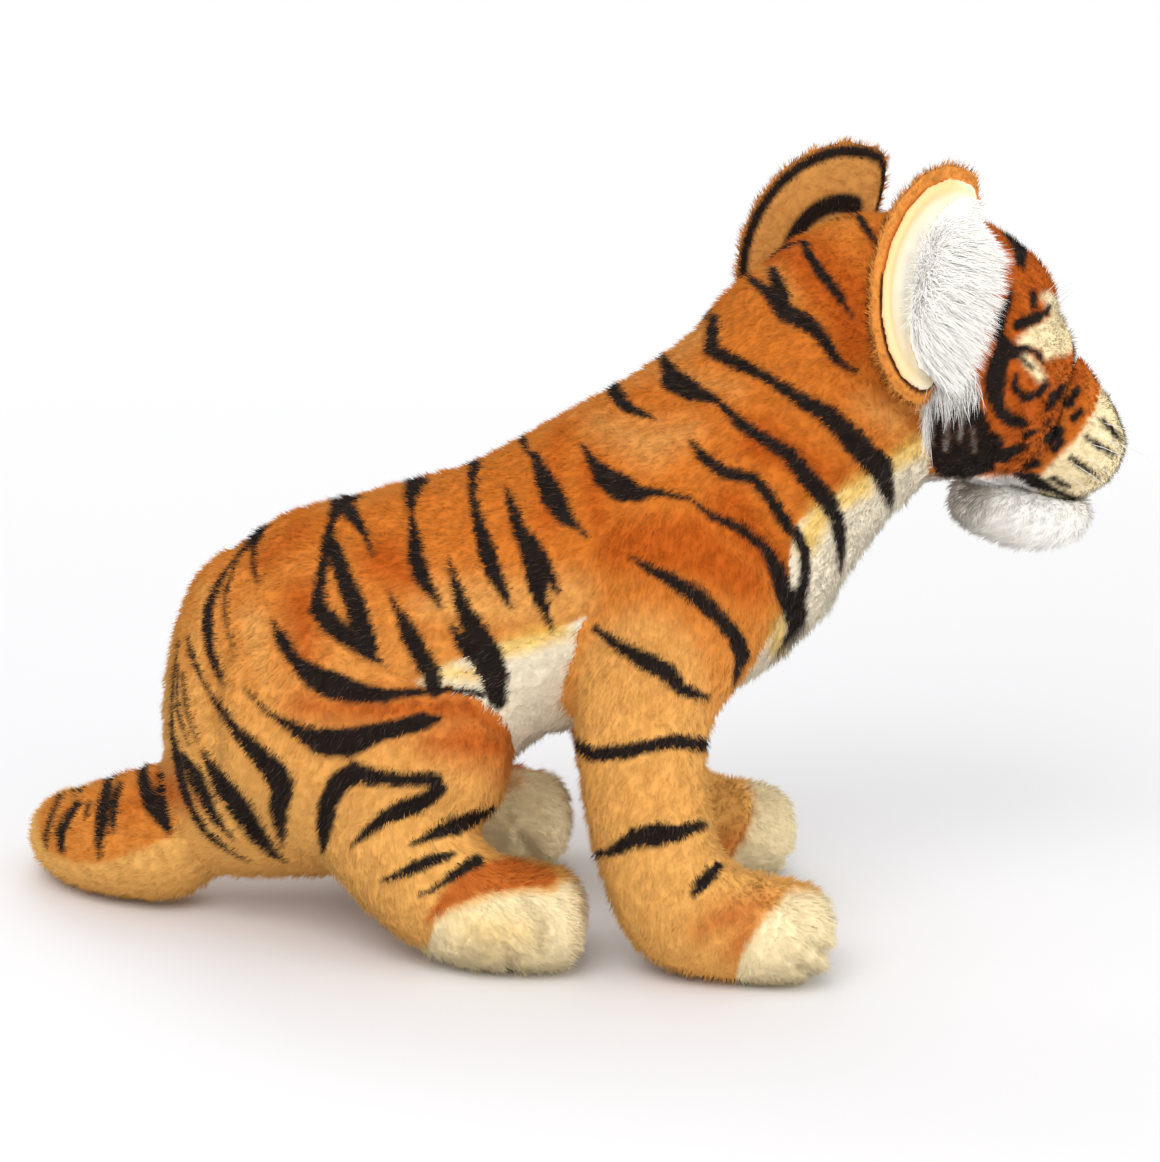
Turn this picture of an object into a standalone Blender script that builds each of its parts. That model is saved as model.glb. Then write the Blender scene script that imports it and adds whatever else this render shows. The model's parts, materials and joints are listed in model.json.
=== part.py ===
"""Plush tiger cub that stands on four paws: sewn fur covers over fibre filling.

Metres, +Z up. The cub faces +X, its left side is +Y, and its soles stand on Z = 0.
Each stuffed form is a loft of elliptical sections. The sections are shares, chosen by
hand, of the driving sizes below, so seams and seats follow a size that changes.
"""

import math

import bmesh
import bpy
from mathutils import Matrix, Vector

# Fabric, seams and fits
COVER_THICKNESS = 0.004
SEAM_GAP = 0.0003
BALL_GAP = 0.0008
SOLE_FLAT = 0.0006
SWING_GAP = 0.0015
CUT_OVERRUN = 0.04
BEYOND_ALL = 0.6

# Facets: the sides of each form, its rings to a span, and the rings of its round ends
BODY_SIDES = 20
HAUNCH_SIDES = 16
LIMB_SIDES = 14
SPAN_STEPS = 2
BODY_DOME_RINGS = 5
TAIL_DOME_RINGS = 4
DOME_RINGS = 3
ARMHOLE_STEPS = 12
ROD_SIDES = 16
SHANK_SIDES = 12
EYE_SIDES = 20
EYE_RINGS = 4
EAR_RINGS = 9
EAR_SPANS = 5
NECK_DISH_SIDES = 32
TAIL_SEAT_SIDES = 24
SHARP_EDGE_ANGLE = 50.0

# Torso and neck
TORSO_LENGTH = 0.273
TORSO_DEPTH = 0.176
TORSO_WIDTH = 0.144
RUMP_BULGE = 0.030
NECK_X = 0.107
NECK_HEIGHT = 0.256
NECK_DIAMETER = 0.124
NECK_TILT = 36.0

# Head
HEAD_TURN = 16.0
HEAD_LENGTH = 0.150
HEAD_DEPTH = 0.132
HEAD_WIDTH = 0.140
HEAD_REACH = 0.045
HEAD_RISE = 0.016
MUZZLE_LENGTH = 0.062
MUZZLE_DEPTH = 0.060
MUZZLE_WIDTH = 0.074
MUZZLE_DROP = 0.025
CHIN_LENGTH = 0.055
CHIN_DEPTH = 0.034
CHIN_WIDTH = 0.056
CHIN_DROP = 0.056
NOSE_WIDTH = 0.026
NOSE_DEPTH = 0.016
NOSE_LENGTH = 0.014

# Eyes, each a glazed button with a shank that a washer holds inside the head
EYE_DIAMETER = 0.019
EYE_BULGE = 0.007
SHANK_DIAMETER = 0.0045
SHANK_LENGTH = 0.014
WASHER_DIAMETER = 0.015
WASHER_THICKNESS = 0.0015

# Ears
EAR_HEIGHT = 0.110
EAR_WIDTH = 0.043
EAR_CUP_DEPTH = 0.010
EAR_FUR_THICKNESS = 0.0045
EAR_LINING_THICKNESS = 0.0018
EAR_LINING_INSET = 0.003
EAR_TUFT_THICKNESS = 0.009
EAR_ROOT_DEPTH = 0.014
EAR_ROLL_DIAMETER = 0.008
EAR_ROLL_LENGTH = 0.040
EAR_FOLD = 13.0

# Front legs
SHOULDER_HEIGHT = 0.178
SHOULDER_DIAMETER = 0.088
LEG_THICKNESS = 0.056
LEG_SEAT = 0.046
PAW_LENGTH = 0.078
PAW_HEIGHT = 0.046
PAW_WIDTH = 0.060
PAW_SPREAD = 0.076
PAW_SEAM_TILT = 26.0

# Hind legs
HAUNCH_LENGTH = 0.135
HAUNCH_DEPTH = 0.100
HAUNCH_WIDTH = 0.072
HAUNCH_HEIGHT = 0.092
HAUNCH_SPREAD = 0.052
HIND_LEG_REACH = 0.105
HIND_PAW_HEIGHT = 0.047
HIND_PAW_WIDTH = 0.060
HIND_PAW_SPREAD = 0.073
HIND_SEAM_TILT = 32.0

# Tail
TAIL_DIAMETER = 0.064
TAIL_REACH = 0.046
TAIL_CURL = 0.080
TAIL_HEIGHT = 0.0335
TAIL_SEAT_DEPTH = 0.012

Y_AXIS = Vector((0, 1, 0))
Z_AXIS = Vector((0, 0, 1))

FUR_ORANGE = (0.60, 0.23, 0.05)
FUR_TAN = (0.72, 0.40, 0.14)
FUR_CREAM = (0.88, 0.74, 0.44)
FUR_WHITE = (0.90, 0.88, 0.83)
SUEDE_CREAM = (0.90, 0.80, 0.58)
FIBRE_WHITE = (0.86, 0.86, 0.86)
EYE_AMBER = (0.20, 0.10, 0.02)
NOSE_PINK = (0.42, 0.18, 0.15)
WASHER_WHITE = (0.75, 0.75, 0.75)
FUR_ROUGHNESS = 1.0
SUEDE_ROUGHNESS = 0.9
NOSE_ROUGHNESS = 0.6
WASHER_ROUGHNESS = 0.5
GLASS_ROUGHNESS = 0.05


def remove_all_objects():
    for old in list(bpy.data.objects):
        bpy.data.objects.remove(old)


def material(name, colour, roughness):
    """A Principled material, made once for each name."""
    found = bpy.data.materials.get(name)
    if found:
        return found
    made = bpy.data.materials.new(name)
    made.use_nodes = True
    shader = made.node_tree.nodes["Principled BSDF"]
    shader.inputs["Base Color"].default_value = (*colour, 1)
    shader.inputs["Roughness"].default_value = roughness
    shader.inputs["Metallic"].default_value = 0
    return made


def fur(colour_name, colour):
    return material("fur_" + colour_name, colour, FUR_ROUGHNESS)


def add_object(name, mesh, parent=None, finish=None):
    """Links a mesh under its name, shaded smooth except at its sharp edges."""
    made = bpy.data.objects.new(name, mesh)
    bpy.context.scene.collection.objects.link(made)
    made.parent = parent
    if finish:
        mesh.materials.append(finish)
    mesh.shade_smooth()
    mesh.set_sharp_from_angle(angle=math.radians(SHARP_EDGE_ANGLE))
    return made


def add_frame(name, place, turn=0.0):
    """An empty that carries the pieces of one limb."""
    frame = bpy.data.objects.new(name, None)
    bpy.context.scene.collection.objects.link(frame)
    frame.location = place
    frame.rotation_euler = (0, 0, math.radians(turn))
    return frame


def add_cutter(name, mesh, parent=None):
    """A shape that only cuts others: it stays in the file as a wire."""
    made = add_object(name, mesh, parent)
    made.hide_render = True
    made.display_type = "WIRE"
    return made


def boolean(target, tool, operation="DIFFERENCE"):
    modifier = target.modifiers.new(operation.lower() + "_" + tool.name, "BOOLEAN")
    modifier.operation = operation
    modifier.object = tool
    modifier.solver = "EXACT"


def cut(pieces, tools):
    """Takes every tool's space out of every piece."""
    for piece in pieces:
        for tool in tools:
            boolean(piece, tool)


def side_name(side):
    return "left" if side > 0 else "right"


class Section:
    """An elliptical section: its centre, the way the form runs, and two half sizes."""

    def __init__(self, centre, axis, half_side, half_other):
        self.centre = Vector(centre)
        self.axis = Vector(axis).normalized()
        self.half_side = half_side
        self.half_other = half_other

    def numbers(self):
        return [*self.centre, *self.axis, self.half_side, self.half_other]

    def grown(self, by):
        return Section(self.centre, self.axis, self.half_side + by, self.half_other + by)

    def ring(self, segments, side, scale=1.0, ahead=0.0):
        """The section's points, shrunk by scale and moved ahead along its axis."""
        other = self.axis.cross(side).normalized()
        across = other.cross(self.axis).normalized()
        middle = self.centre + self.axis * ahead
        turns = [2 * math.pi * k / segments for k in range(segments)]
        return [
            middle
            + across * (self.half_side * scale * math.sin(turn))
            + other * (self.half_other * scale * math.cos(turn))
            for turn in turns
        ]


def blended(before, start, end, after, t):
    """The Catmull-Rom value between start and end."""
    return 0.5 * (
        2 * start
        + (end - before) * t
        + (2 * before - 5 * start + 4 * end - after) * t ** 2
        + (3 * start - before - 3 * end + after) * t ** 3
    )


def smoothed(sections):
    """Sections on a smooth run through the given ones, with equal steps to each span."""
    rows = [s.numbers() for s in sections]
    rows = [rows[0], *rows, rows[-1]]
    made = []
    for four in zip(rows, rows[1:], rows[2:], rows[3:]):
        for k in range(SPAN_STEPS):
            row = [blended(*values, k / SPAN_STEPS) for values in zip(*four)]
            made.append(Section(row[0:3], row[3:6], row[6], row[7]))
    made.append(sections[-1])
    return made


def along_path(places, half_sides, half_others):
    """Sections that face along the path of their own centres."""
    places = [Vector(p) for p in places]
    ends = [places[0], *places, places[-1]]
    ways = [after - before for before, after in zip(ends, ends[2:])]
    return [Section(*row) for row in zip(places, ways, half_sides, half_others)]


def finished_mesh(name, shape):
    bmesh.ops.recalc_face_normals(shape, faces=shape.faces)
    mesh = bpy.data.meshes.new(name)
    shape.to_mesh(mesh)
    shape.free()
    return mesh


def skin_rings(name, rings, start_tip=None, end_tip=None):
    """Joins rings of points into a closed form, each end a tip or a flat face."""
    shape = bmesh.new()
    loops = [[shape.verts.new(p) for p in ring] for ring in rings]
    count = len(rings[0])
    for low, high in zip(loops, loops[1:]):
        for k in range(count):
            n = (k + 1) % count
            shape.faces.new((low[k], low[n], high[n], high[k]))
    for loop, tip in ((loops[0], start_tip), (loops[-1], end_tip)):
        if tip is None:
            shape.faces.new(loop)
            continue
        pole = shape.verts.new(tip)
        for k in range(count):
            shape.faces.new((loop[k], loop[(k + 1) % count], pole))
    # Twisted quads are split the same way in every layer, so that layers never cross.
    bmesh.ops.triangulate(shape, faces=shape.faces, quad_method="FIXED")
    return finished_mesh(name, shape)


def prism_mesh(name, outline, low, high):
    """An outline of X and Z places, carried along Y from low to high."""
    shape = bmesh.new()
    face = shape.faces.new([shape.verts.new((x, low, z)) for x, z in outline])
    made = bmesh.ops.extrude_face_region(shape, geom=[face])
    moved = [v for v in made["geom"] if isinstance(v, bmesh.types.BMVert)]
    bmesh.ops.translate(shape, verts=moved, vec=(0, high - low, 0))
    return finished_mesh(name, shape)


def box_outline(low_x, high_x, low_z, high_z):
    return [(low_x, low_z), (high_x, low_z), (high_x, high_z), (low_x, high_z)]


def ball_mesh(name, centre, radius, segments):
    shape = bmesh.new()
    bmesh.ops.create_uvsphere(
        shape,
        u_segments=segments,
        v_segments=segments // 2,
        radius=radius,
        matrix=Matrix.Translation(centre),
    )
    return finished_mesh(name, shape)


def rod_mesh(name, start, end, radius, segments=ROD_SIDES):
    """A round rod between two points."""
    start, end = Vector(start), Vector(end)
    way = end - start
    turn = way.to_track_quat("Z", "Y").to_matrix().to_4x4()
    shape = bmesh.new()
    bmesh.ops.create_cone(
        shape,
        cap_ends=True,
        segments=segments,
        radius1=radius,
        radius2=radius,
        depth=way.length,
        matrix=Matrix.Translation((start + end) / 2) @ turn,
    )
    return finished_mesh(name, shape)


def region_ahead(name, place, tilt, behind=False):
    """Everything ahead of a plane through place that leans forward by tilt degrees."""
    reach = -BEYOND_ALL if behind else BEYOND_ALL
    outline = box_outline(0, reach, -BEYOND_ALL, BEYOND_ALL)
    made = add_cutter(name, prism_mesh(name, outline, -BEYOND_ALL, BEYOND_ALL))
    made.location = place
    made.rotation_euler = (0, math.radians(tilt), 0)
    return made


class Form:
    """A stuffed form, which gives a cover, the filling in it and the space it takes."""

    def __init__(
        self, sections, segments, start_bulge, end_bulge, dome_rings=DOME_RINGS, side=Y_AXIS
    ):
        self.sections = sections
        self.segments = segments
        self.start_bulge = start_bulge
        self.end_bulge = end_bulge
        self.dome_rings = dome_rings
        self.side = side

    def mesh(self, name, grow=0.0):
        """The form grown by a distance. Faces inside the cover have half the rings and sides."""
        inside = grow < 0
        sections = [s.grown(grow) for s in self.sections[:: 2 if inside else 1]]
        sides = self.segments // 2 if inside else self.segments
        dome_rings = DOME_RINGS if inside else self.dome_rings
        rings = [s.ring(sides, self.side) for s in sections]
        first, last = sections[0], sections[-1]
        start, end = self.start_bulge + grow, self.end_bulge + grow
        for k in range(1, dome_rings):
            angle = math.pi / 2 * k / dome_rings
            size, ahead = math.cos(angle), math.sin(angle)
            rings.insert(0, first.ring(sides, self.side, size, -start * ahead))
            rings.append(last.ring(sides, self.side, size, end * ahead))
        start_tip = first.centre - first.axis * start
        end_tip = last.centre + last.axis * end
        return skin_rings(name, rings, start_tip, end_tip)

    def cover(self, name, finish, parent=None):
        """The sewn cover: the outside form with the filling's room taken out."""
        made = add_object(name, self.mesh(name), parent, finish)
        room = add_cutter(name + "_room", self.mesh(name + "_room", -COVER_THICKNESS), parent)
        boolean(made, room)
        return made

    def filling(self, name, parent=None):
        mesh = self.mesh(name, -COVER_THICKNESS - SEAM_GAP)
        return add_object(name, mesh, parent, material("fibre_filling", FIBRE_WHITE, FUR_ROUGHNESS))

    def space(self, name, parent=None, grow=SEAM_GAP):
        return add_cutter(name, self.mesh(name, grow), parent)


# Torso sections from the rump to the neck. Each row is a share of TORSO_LENGTH behind
# the neck, a share of NECK_HEIGHT, a tilt in degrees, and the half depth and half width
# as shares of TORSO_DEPTH and TORSO_WIDTH.
torso_shares = [
    (0.971, 0.363, 0, 0.437, 0.390),
    (0.868, 0.398, 5, 0.480, 0.472),
    (0.769, 0.426, 8, 0.487, 0.500),
    (0.626, 0.504, 14, 0.438, 0.493),
    (0.487, 0.590, 16, 0.390, 0.472),
    (0.366, 0.656, 22, 0.405, 0.458),
    (0.245, 0.715, 29, 0.425, 0.458),
    (0.143, 0.801, 33, 0.408, 0.451),
    (0.070, 0.898, 36, 0.369, 0.437),
]

# The belly seam on the flank, from the hind legs to the throat: shares of TORSO_LENGTH
# behind the neck and of NECK_HEIGHT.
belly_seam_shares = [
    (0.84, 0.20),
    (0.64, 0.49),
    (0.53, 0.56),
    (0.385, 0.617),
    (0.256, 0.617),
    (0.128, 0.645),
    (0.062, 0.70),
    (0.00, 0.766),
    (-0.073, 0.84),
    (-0.165, 0.94),
]

SHOULDER_PLACE_SHARE = 0.220
HAUNCH_PLACE_SHARE = 0.750
# How far the armhole's foot lies behind and ahead of the shoulder, and below it.
ARMHOLE_BACK_SHARE = 0.90
ARMHOLE_AHEAD_SHARE = 0.52
ARMHOLE_DROP_SHARE = 0.68

# Front leg: shares of SHOULDER_DIAMETER ahead of the shoulder and of SHOULDER_HEIGHT up,
# the share of the way out from the seat to the paw, and half sizes as shares of
# LEG_THICKNESS and SHOULDER_DIAMETER.
front_leg_shares = [
    (0.00, 1.00, 0.20, 0.48, 0.50),
    (-0.09, 0.84, 0.34, 0.50, 0.44),
    (-0.19, 0.70, 0.50, 0.50, 0.365),
    (-0.20, 0.56, 0.70, 0.50, 0.325),
    (-0.15, 0.41, 0.86, 0.49, 0.310),
    (-0.06, 0.27, 0.96, 0.49, 0.305),
]
# Front paw: shares of PAW_LENGTH ahead of the wrist and of PAW_HEIGHT up, and half sizes
# as shares of PAW_WIDTH and PAW_HEIGHT.
front_paw_shares = [
    (0.14, 0.72, 0.47, 0.64),
    (0.37, 0.54, 0.49, 0.53),
    (0.66, 0.50, 0.50, 0.50),
    (0.83, 0.48, 0.46, 0.46),
]
WRIST_SHARE = -0.06
PAW_BULGE_SHARE = 0.17
PAW_SEAM_SHARE = 0.45

# Haunch: shares of HAUNCH_LENGTH ahead of its middle and of HAUNCH_DEPTH above it, and
# half sizes as shares of HAUNCH_WIDTH and HAUNCH_DEPTH.
haunch_shares = [
    (-0.37, 0.12, 0.31, 0.38),
    (-0.17, 0.06, 0.46, 0.52),
    (0.06, 0.00, 0.50, 0.50),
    (0.28, 0.01, 0.47, 0.41),
]
HAUNCH_BACK_SHARE = 0.10
HAUNCH_FRONT_SHARE = 0.24

# Hind leg and paw: shares of HIND_LEG_REACH ahead of the haunch's middle, of
# HIND_PAW_HEIGHT up and of HIND_PAW_SPREAD out, and half sizes as shares of
# HIND_PAW_WIDTH and HIND_PAW_HEIGHT.
hind_leg_shares = [
    (0.07, 1.40, 0.80, 0.43, 0.68),
    (0.28, 0.94, 0.90, 0.47, 0.66),
    (0.48, 0.60, 1.00, 0.48, 0.55),
    (0.71, 0.51, 1.00, 0.50, 0.51),
    (0.90, 0.50, 1.00, 0.45, 0.47),
]
HIND_TOE_SHARE = 0.09
HIND_SEAM_SHARE = 0.36

# Tail: shares of TAIL_REACH behind its root and of TAIL_CURL to the left, and its half
# size as a share of TAIL_DIAMETER.
tail_shares = [
    (0.00, 0.00, 0.500),
    (0.46, 0.05, 0.430),
    (0.84, 0.22, 0.345),
    (1.00, 0.46, 0.290),
    (0.92, 0.74, 0.260),
    (0.64, 1.00, 0.235),
]
TAIL_TIP_SHARE = 0.22


def neck_pivot():
    return Vector((NECK_X, 0, NECK_HEIGHT))


def torso_place(length_share, height_share):
    """A place in the torso's middle plane."""
    return Vector((NECK_X - length_share * TORSO_LENGTH, 0, height_share * NECK_HEIGHT))


def tilted(degrees):
    angle = math.radians(degrees)
    return Vector((math.cos(angle), 0, math.sin(angle)))


def torso_form():
    rows = [
        Section(torso_place(x, z), tilted(tilt), width * TORSO_WIDTH, depth * TORSO_DEPTH)
        for x, z, tilt, depth, width in torso_shares
    ]
    neck_radius = NECK_DIAMETER / 2
    rows.append(Section(neck_pivot(), tilted(NECK_TILT), neck_radius, neck_radius))
    return Form(smoothed(rows), BODY_SIDES, RUMP_BULGE, neck_radius, BODY_DOME_RINGS)


def belly_region(name, lift):
    """Everything under the belly seam, raised by lift."""
    seam = [torso_place(x, z) for x, z in belly_seam_shares]
    outline = [(p.x, p.z + lift) for p in seam]
    outline += [(seam[-1].x, -CUT_OVERRUN), (seam[0].x, -CUT_OVERRUN)]
    return add_cutter(name, prism_mesh(name, outline, -TORSO_WIDTH, TORSO_WIDTH))


def shoulder_pivot(side):
    place = torso_place(SHOULDER_PLACE_SHARE, 0)
    return Vector((place.x, side * LEG_SEAT, SHOULDER_HEIGHT))


def armhole(side):
    """The flat-backed space in the torso's flank that the leg's root swings in."""
    pivot = shoulder_pivot(side)
    radius = SHOULDER_DIAMETER / 2 + SWING_GAP
    turns = [math.pi * k / ARMHOLE_STEPS for k in range(ARMHOLE_STEPS + 1)]
    outline = [(pivot.x + radius * math.cos(t), pivot.z + radius * math.sin(t)) for t in turns]
    low = pivot.z - ARMHOLE_DROP_SHARE * SHOULDER_HEIGHT
    outline.append((pivot.x - ARMHOLE_BACK_SHARE * SHOULDER_DIAMETER, low))
    outline.append((pivot.x + ARMHOLE_AHEAD_SHARE * SHOULDER_DIAMETER, low))
    near = side * (LEG_SEAT - SEAM_GAP)
    far = side * (TORSO_WIDTH + CUT_OVERRUN)
    name = "armhole_" + side_name(side)
    return add_cutter(name, prism_mesh(name, outline, min(near, far), max(near, far)))


def tail_pivot():
    """The tail turns just behind the rump, so that its root keeps clear of the seat."""
    length_share, height_share, _, depth_share, _ = torso_shares[0]
    rump = torso_place(length_share, height_share)
    drop = (rump.z - TAIL_HEIGHT) / (depth_share * TORSO_DEPTH)
    skin = rump.x - RUMP_BULGE * math.sqrt(max(1 - drop * drop, 0))
    return Vector((skin - TAIL_SEAT_DEPTH, 0, TAIL_HEIGHT))


def build_torso():
    form = torso_form()
    seat_radius = TAIL_DIAMETER / 2 + BALL_GAP
    seat_mesh = ball_mesh("tail_seat", tail_pivot(), seat_radius, TAIL_SEAT_SIDES)
    tail_seat = add_cutter("tail_seat", seat_mesh)
    holes = [armhole(1), armhole(-1), tail_seat]
    back = form.cover("torso_cover", fur("orange", FUR_ORANGE))
    cut([back], [belly_region("belly_seam_above", SEAM_GAP / 2)] + holes)
    belly = form.cover("belly_panel", fur("white", FUR_WHITE))
    boolean(belly, belly_region("belly_seam_below", -SEAM_GAP / 2), "INTERSECT")
    cut([belly], holes)
    filling = form.filling("torso_filling")
    cut([filling], holes)
    return form.space("torso_space")


def front_leg_form(side):
    pivot = shoulder_pivot(side)
    out = PAW_SPREAD - LEG_SEAT
    places, half_sides, half_others = [], [], []
    for ahead, up, spread, half_side, half_other in front_leg_shares:
        x = pivot.x + ahead * SHOULDER_DIAMETER
        places.append((x, side * (LEG_SEAT + spread * out), up * SHOULDER_HEIGHT))
        half_sides.append(half_side * LEG_THICKNESS)
        half_others.append(half_other * SHOULDER_DIAMETER)
    wrist = pivot.x + WRIST_SHARE * SHOULDER_DIAMETER
    for ahead, up, half_side, half_other in front_paw_shares:
        x = wrist + ahead * PAW_LENGTH
        places.append((x, side * PAW_SPREAD, up * PAW_HEIGHT - SOLE_FLAT))
        half_sides.append(half_side * PAW_WIDTH)
        half_others.append(half_other * PAW_HEIGHT)
    sections = smoothed(along_path(places, half_sides, half_others))
    return Form(sections, LIMB_SIDES, SHOULDER_DIAMETER / 2, PAW_BULGE_SHARE * PAW_LENGTH)


def build_front_leg(side, ground):
    """Leg cover, cream paw cover and one filling, flat where they meet the torso."""
    name = side_name(side)
    form = front_leg_form(side)
    wrist = shoulder_pivot(side).x + WRIST_SHARE * SHOULDER_DIAMETER
    seam = Vector((wrist + PAW_SEAM_SHARE * PAW_LENGTH, 0, 0))
    gap = Vector((SEAM_GAP, 0, 0))
    seat_low, seat_high = sorted((side * -BEYOND_ALL, side * LEG_SEAT))
    block = box_outline(-BEYOND_ALL, BEYOND_ALL, -BEYOND_ALL, BEYOND_ALL)
    seat = add_cutter("leg_seat_" + name, prism_mesh("leg_seat_" + name, block, seat_low, seat_high))
    leg = form.cover("front_leg_cover_" + name, fur("tan", FUR_TAN))
    cut([leg], [region_ahead("front_paw_seam_" + name, seam, PAW_SEAM_TILT)])
    paw = form.cover("front_paw_cover_" + name, fur("cream", FUR_CREAM))
    cut([paw], [region_ahead("front_leg_seam_" + name, seam + gap, PAW_SEAM_TILT, behind=True)])
    filling = form.filling("front_leg_filling_" + name)
    cut([leg, paw, filling], [seat, ground])


def haunch_middle(side):
    place = torso_place(HAUNCH_PLACE_SHARE, 0)
    return Vector((place.x, side * HAUNCH_SPREAD, HAUNCH_HEIGHT))


def haunch_form(side):
    middle = haunch_middle(side)
    sections = [
        Section(
            middle + Vector((ahead * HAUNCH_LENGTH, 0, up * HAUNCH_DEPTH)),
            (1, 0, 0),
            half_side * HAUNCH_WIDTH,
            half_other * HAUNCH_DEPTH,
        )
        for ahead, up, half_side, half_other in haunch_shares
    ]
    back = HAUNCH_BACK_SHARE * HAUNCH_LENGTH
    front = HAUNCH_FRONT_SHARE * HAUNCH_LENGTH
    return Form(smoothed(sections), HAUNCH_SIDES, back, front)


def hind_leg_form(side):
    middle = haunch_middle(side)
    places, half_sides, half_others = [], [], []
    for ahead, up, spread, half_side, half_other in hind_leg_shares:
        x = middle.x + ahead * HIND_LEG_REACH
        z = up * HIND_PAW_HEIGHT - SOLE_FLAT
        places.append((x, side * spread * HIND_PAW_SPREAD, z))
        half_sides.append(half_side * HIND_PAW_WIDTH)
        half_others.append(half_other * HIND_PAW_HEIGHT)
    sections = smoothed(along_path(places, half_sides, half_others))
    toes = HIND_TOE_SHARE * HIND_LEG_REACH
    return Form(sections, LIMB_SIDES, toes, toes)


def build_hind_leg(side, torso_space, ground):
    """Haunch and lower leg, which the torso and then the haunch overlap as sewn."""
    name = side_name(side)
    haunch = haunch_form(side)
    thigh = haunch.cover("haunch_cover_" + name, fur("orange", FUR_ORANGE))
    thigh_filling = haunch.filling("haunch_filling_" + name)
    cut([thigh, thigh_filling], [torso_space])
    haunch_space = haunch.space("haunch_space_" + name)
    form = hind_leg_form(side)
    seam = Vector((haunch_middle(side).x + HIND_SEAM_SHARE * HIND_LEG_REACH, 0, 0))
    gap = Vector((SEAM_GAP, 0, 0))
    leg = form.cover("hind_leg_cover_" + name, fur("tan", FUR_TAN))
    cut([leg], [region_ahead("hind_paw_seam_" + name, seam, HIND_SEAM_TILT)])
    paw = form.cover("hind_paw_cover_" + name, fur("cream", FUR_CREAM))
    cut([paw], [region_ahead("hind_leg_seam_" + name, seam + gap, HIND_SEAM_TILT, behind=True)])
    filling = form.filling("hind_leg_filling_" + name)
    cut([leg, paw, filling], [torso_space, haunch_space, ground])


def tail_form():
    pivot = tail_pivot()
    places, half_sizes = [], []
    for back, aside, half_size in tail_shares:
        half_sizes.append(half_size * TAIL_DIAMETER)
        height = pivot.z - (tail_shares[0][2] - half_size) * TAIL_DIAMETER
        places.append((pivot.x - back * TAIL_REACH, aside * TAIL_CURL, height))
    sections = smoothed(along_path(places, half_sizes, half_sizes))
    tip = TAIL_TIP_SHARE * TAIL_DIAMETER
    return Form(sections, LIMB_SIDES, TAIL_DIAMETER / 2, tip, TAIL_DOME_RINGS, Z_AXIS)


def under_tail_region(name, lift):
    """Everything under the tail's side seams, which sink with it towards the tip."""
    form = tail_form()
    first, last = form.sections[0].centre, form.sections[-1].centre
    outline = box_outline(-BEYOND_ALL, BEYOND_ALL, -BEYOND_ALL, 0)
    made = add_cutter(name, prism_mesh(name, outline, -BEYOND_ALL, BEYOND_ALL))
    made.location = first + Vector((0, 0, lift))
    made.rotation_euler = (math.atan2(last.z - first.z, last.y - first.y), 0, 0)
    return made


def build_tail():
    form = tail_form()
    top = form.cover("tail_top_panel", fur("orange", FUR_ORANGE))
    cut([top], [under_tail_region("tail_seam_above", SEAM_GAP / 2)])
    under = form.cover("tail_under_panel", fur("tan", FUR_TAN))
    boolean(under, under_tail_region("tail_seam_below", -SEAM_GAP / 2), "INTERSECT")
    form.filling("tail_filling")


# Head: shares of HEAD_LENGTH ahead of its middle and of HEAD_DEPTH above it, and half
# sizes as shares of HEAD_WIDTH and HEAD_DEPTH.
head_shares = [
    (-0.353, 0.076, 0.357, 0.348),
    (-0.200, 0.030, 0.457, 0.470),
    (0.000, 0.000, 0.500, 0.500),
    (0.190, 0.008, 0.479, 0.481),
    (0.310, -0.014, 0.414, 0.424),
]
HEAD_BACK_SHARE = 0.147
HEAD_FRONT_SHARE = 0.115
# The head's edge round the neck, as shares of NECK_DIAMETER ahead of the pivot and up.
head_rim_shares = [
    (0.345, -0.29),
    (0.31, -0.16),
    (0.22, 0.00),
    (0.165, 0.08),
    (0.10, 0.16),
    (-0.05, 0.31),
    (-0.22, 0.40),
]

# Muzzle: shares of MUZZLE_LENGTH ahead of its root and of MUZZLE_DROP below the neck
# pivot, and half sizes as shares of MUZZLE_WIDTH and MUZZLE_DEPTH.
muzzle_shares = [
    (0.00, 0.24, 0.50, 0.56),
    (0.36, 0.60, 0.52, 0.56),
    (0.67, 1.00, 0.49, 0.50),
    (0.86, 1.20, 0.36, 0.34),
]
MUZZLE_ROOT_SHARE = 0.290
MUZZLE_TIP_SHARE = 0.14
# Chin: the same, of its own sizes.
chin_shares = [
    (0.00, 0.90, 0.42, 0.42),
    (0.38, 1.00, 0.50, 0.50),
    (0.69, 1.02, 0.47, 0.47),
    (0.87, 1.02, 0.36, 0.35),
]
CHIN_ROOT_SHARE = 0.26
CHIN_TIP_SHARE = 0.13
# The nose starts inside the muzzle's tip and stands proud of its upper front.
nose_shares = [(0.80, 0.30), (0.92, 0.45)]

# Places on the head: ahead, out and up from its middle, as shares of its three sizes.
eye_place_shares = (0.402, 0.245, 0.060)
ear_place_shares = (-0.157, 0.471, 0.167)
EYE_WAY = (0.80, 0.56, 0.20)
EYE_SINK_SHARE = 0.08
WASHER_PLACE_SHARE = 0.60
SHANK_ROOT_SHARE = 0.25
# The ear's root line and the way its open side looks, for the left ear.
EAR_ROOT_WAY = (0.270, -0.235, 0.900)
EAR_FACING = (0.219, 0.966, 0.144)
EAR_MIDDLE_SHARE = 0.19
EAR_TUFT_WIDTH_SHARE = 0.55
EAR_TUFT_HEIGHT_SHARE = 0.80
EAR_TUFT_EDGE_SHARE = 0.12


def head_middle():
    """The head's middle, seen from the neck pivot."""
    return Vector((HEAD_REACH, 0, HEAD_RISE))


def head_place(side, shares):
    ahead, out, up = shares
    offset = Vector((ahead * HEAD_LENGTH, side * out * HEAD_WIDTH, up * HEAD_DEPTH))
    return head_middle() + offset


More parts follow.
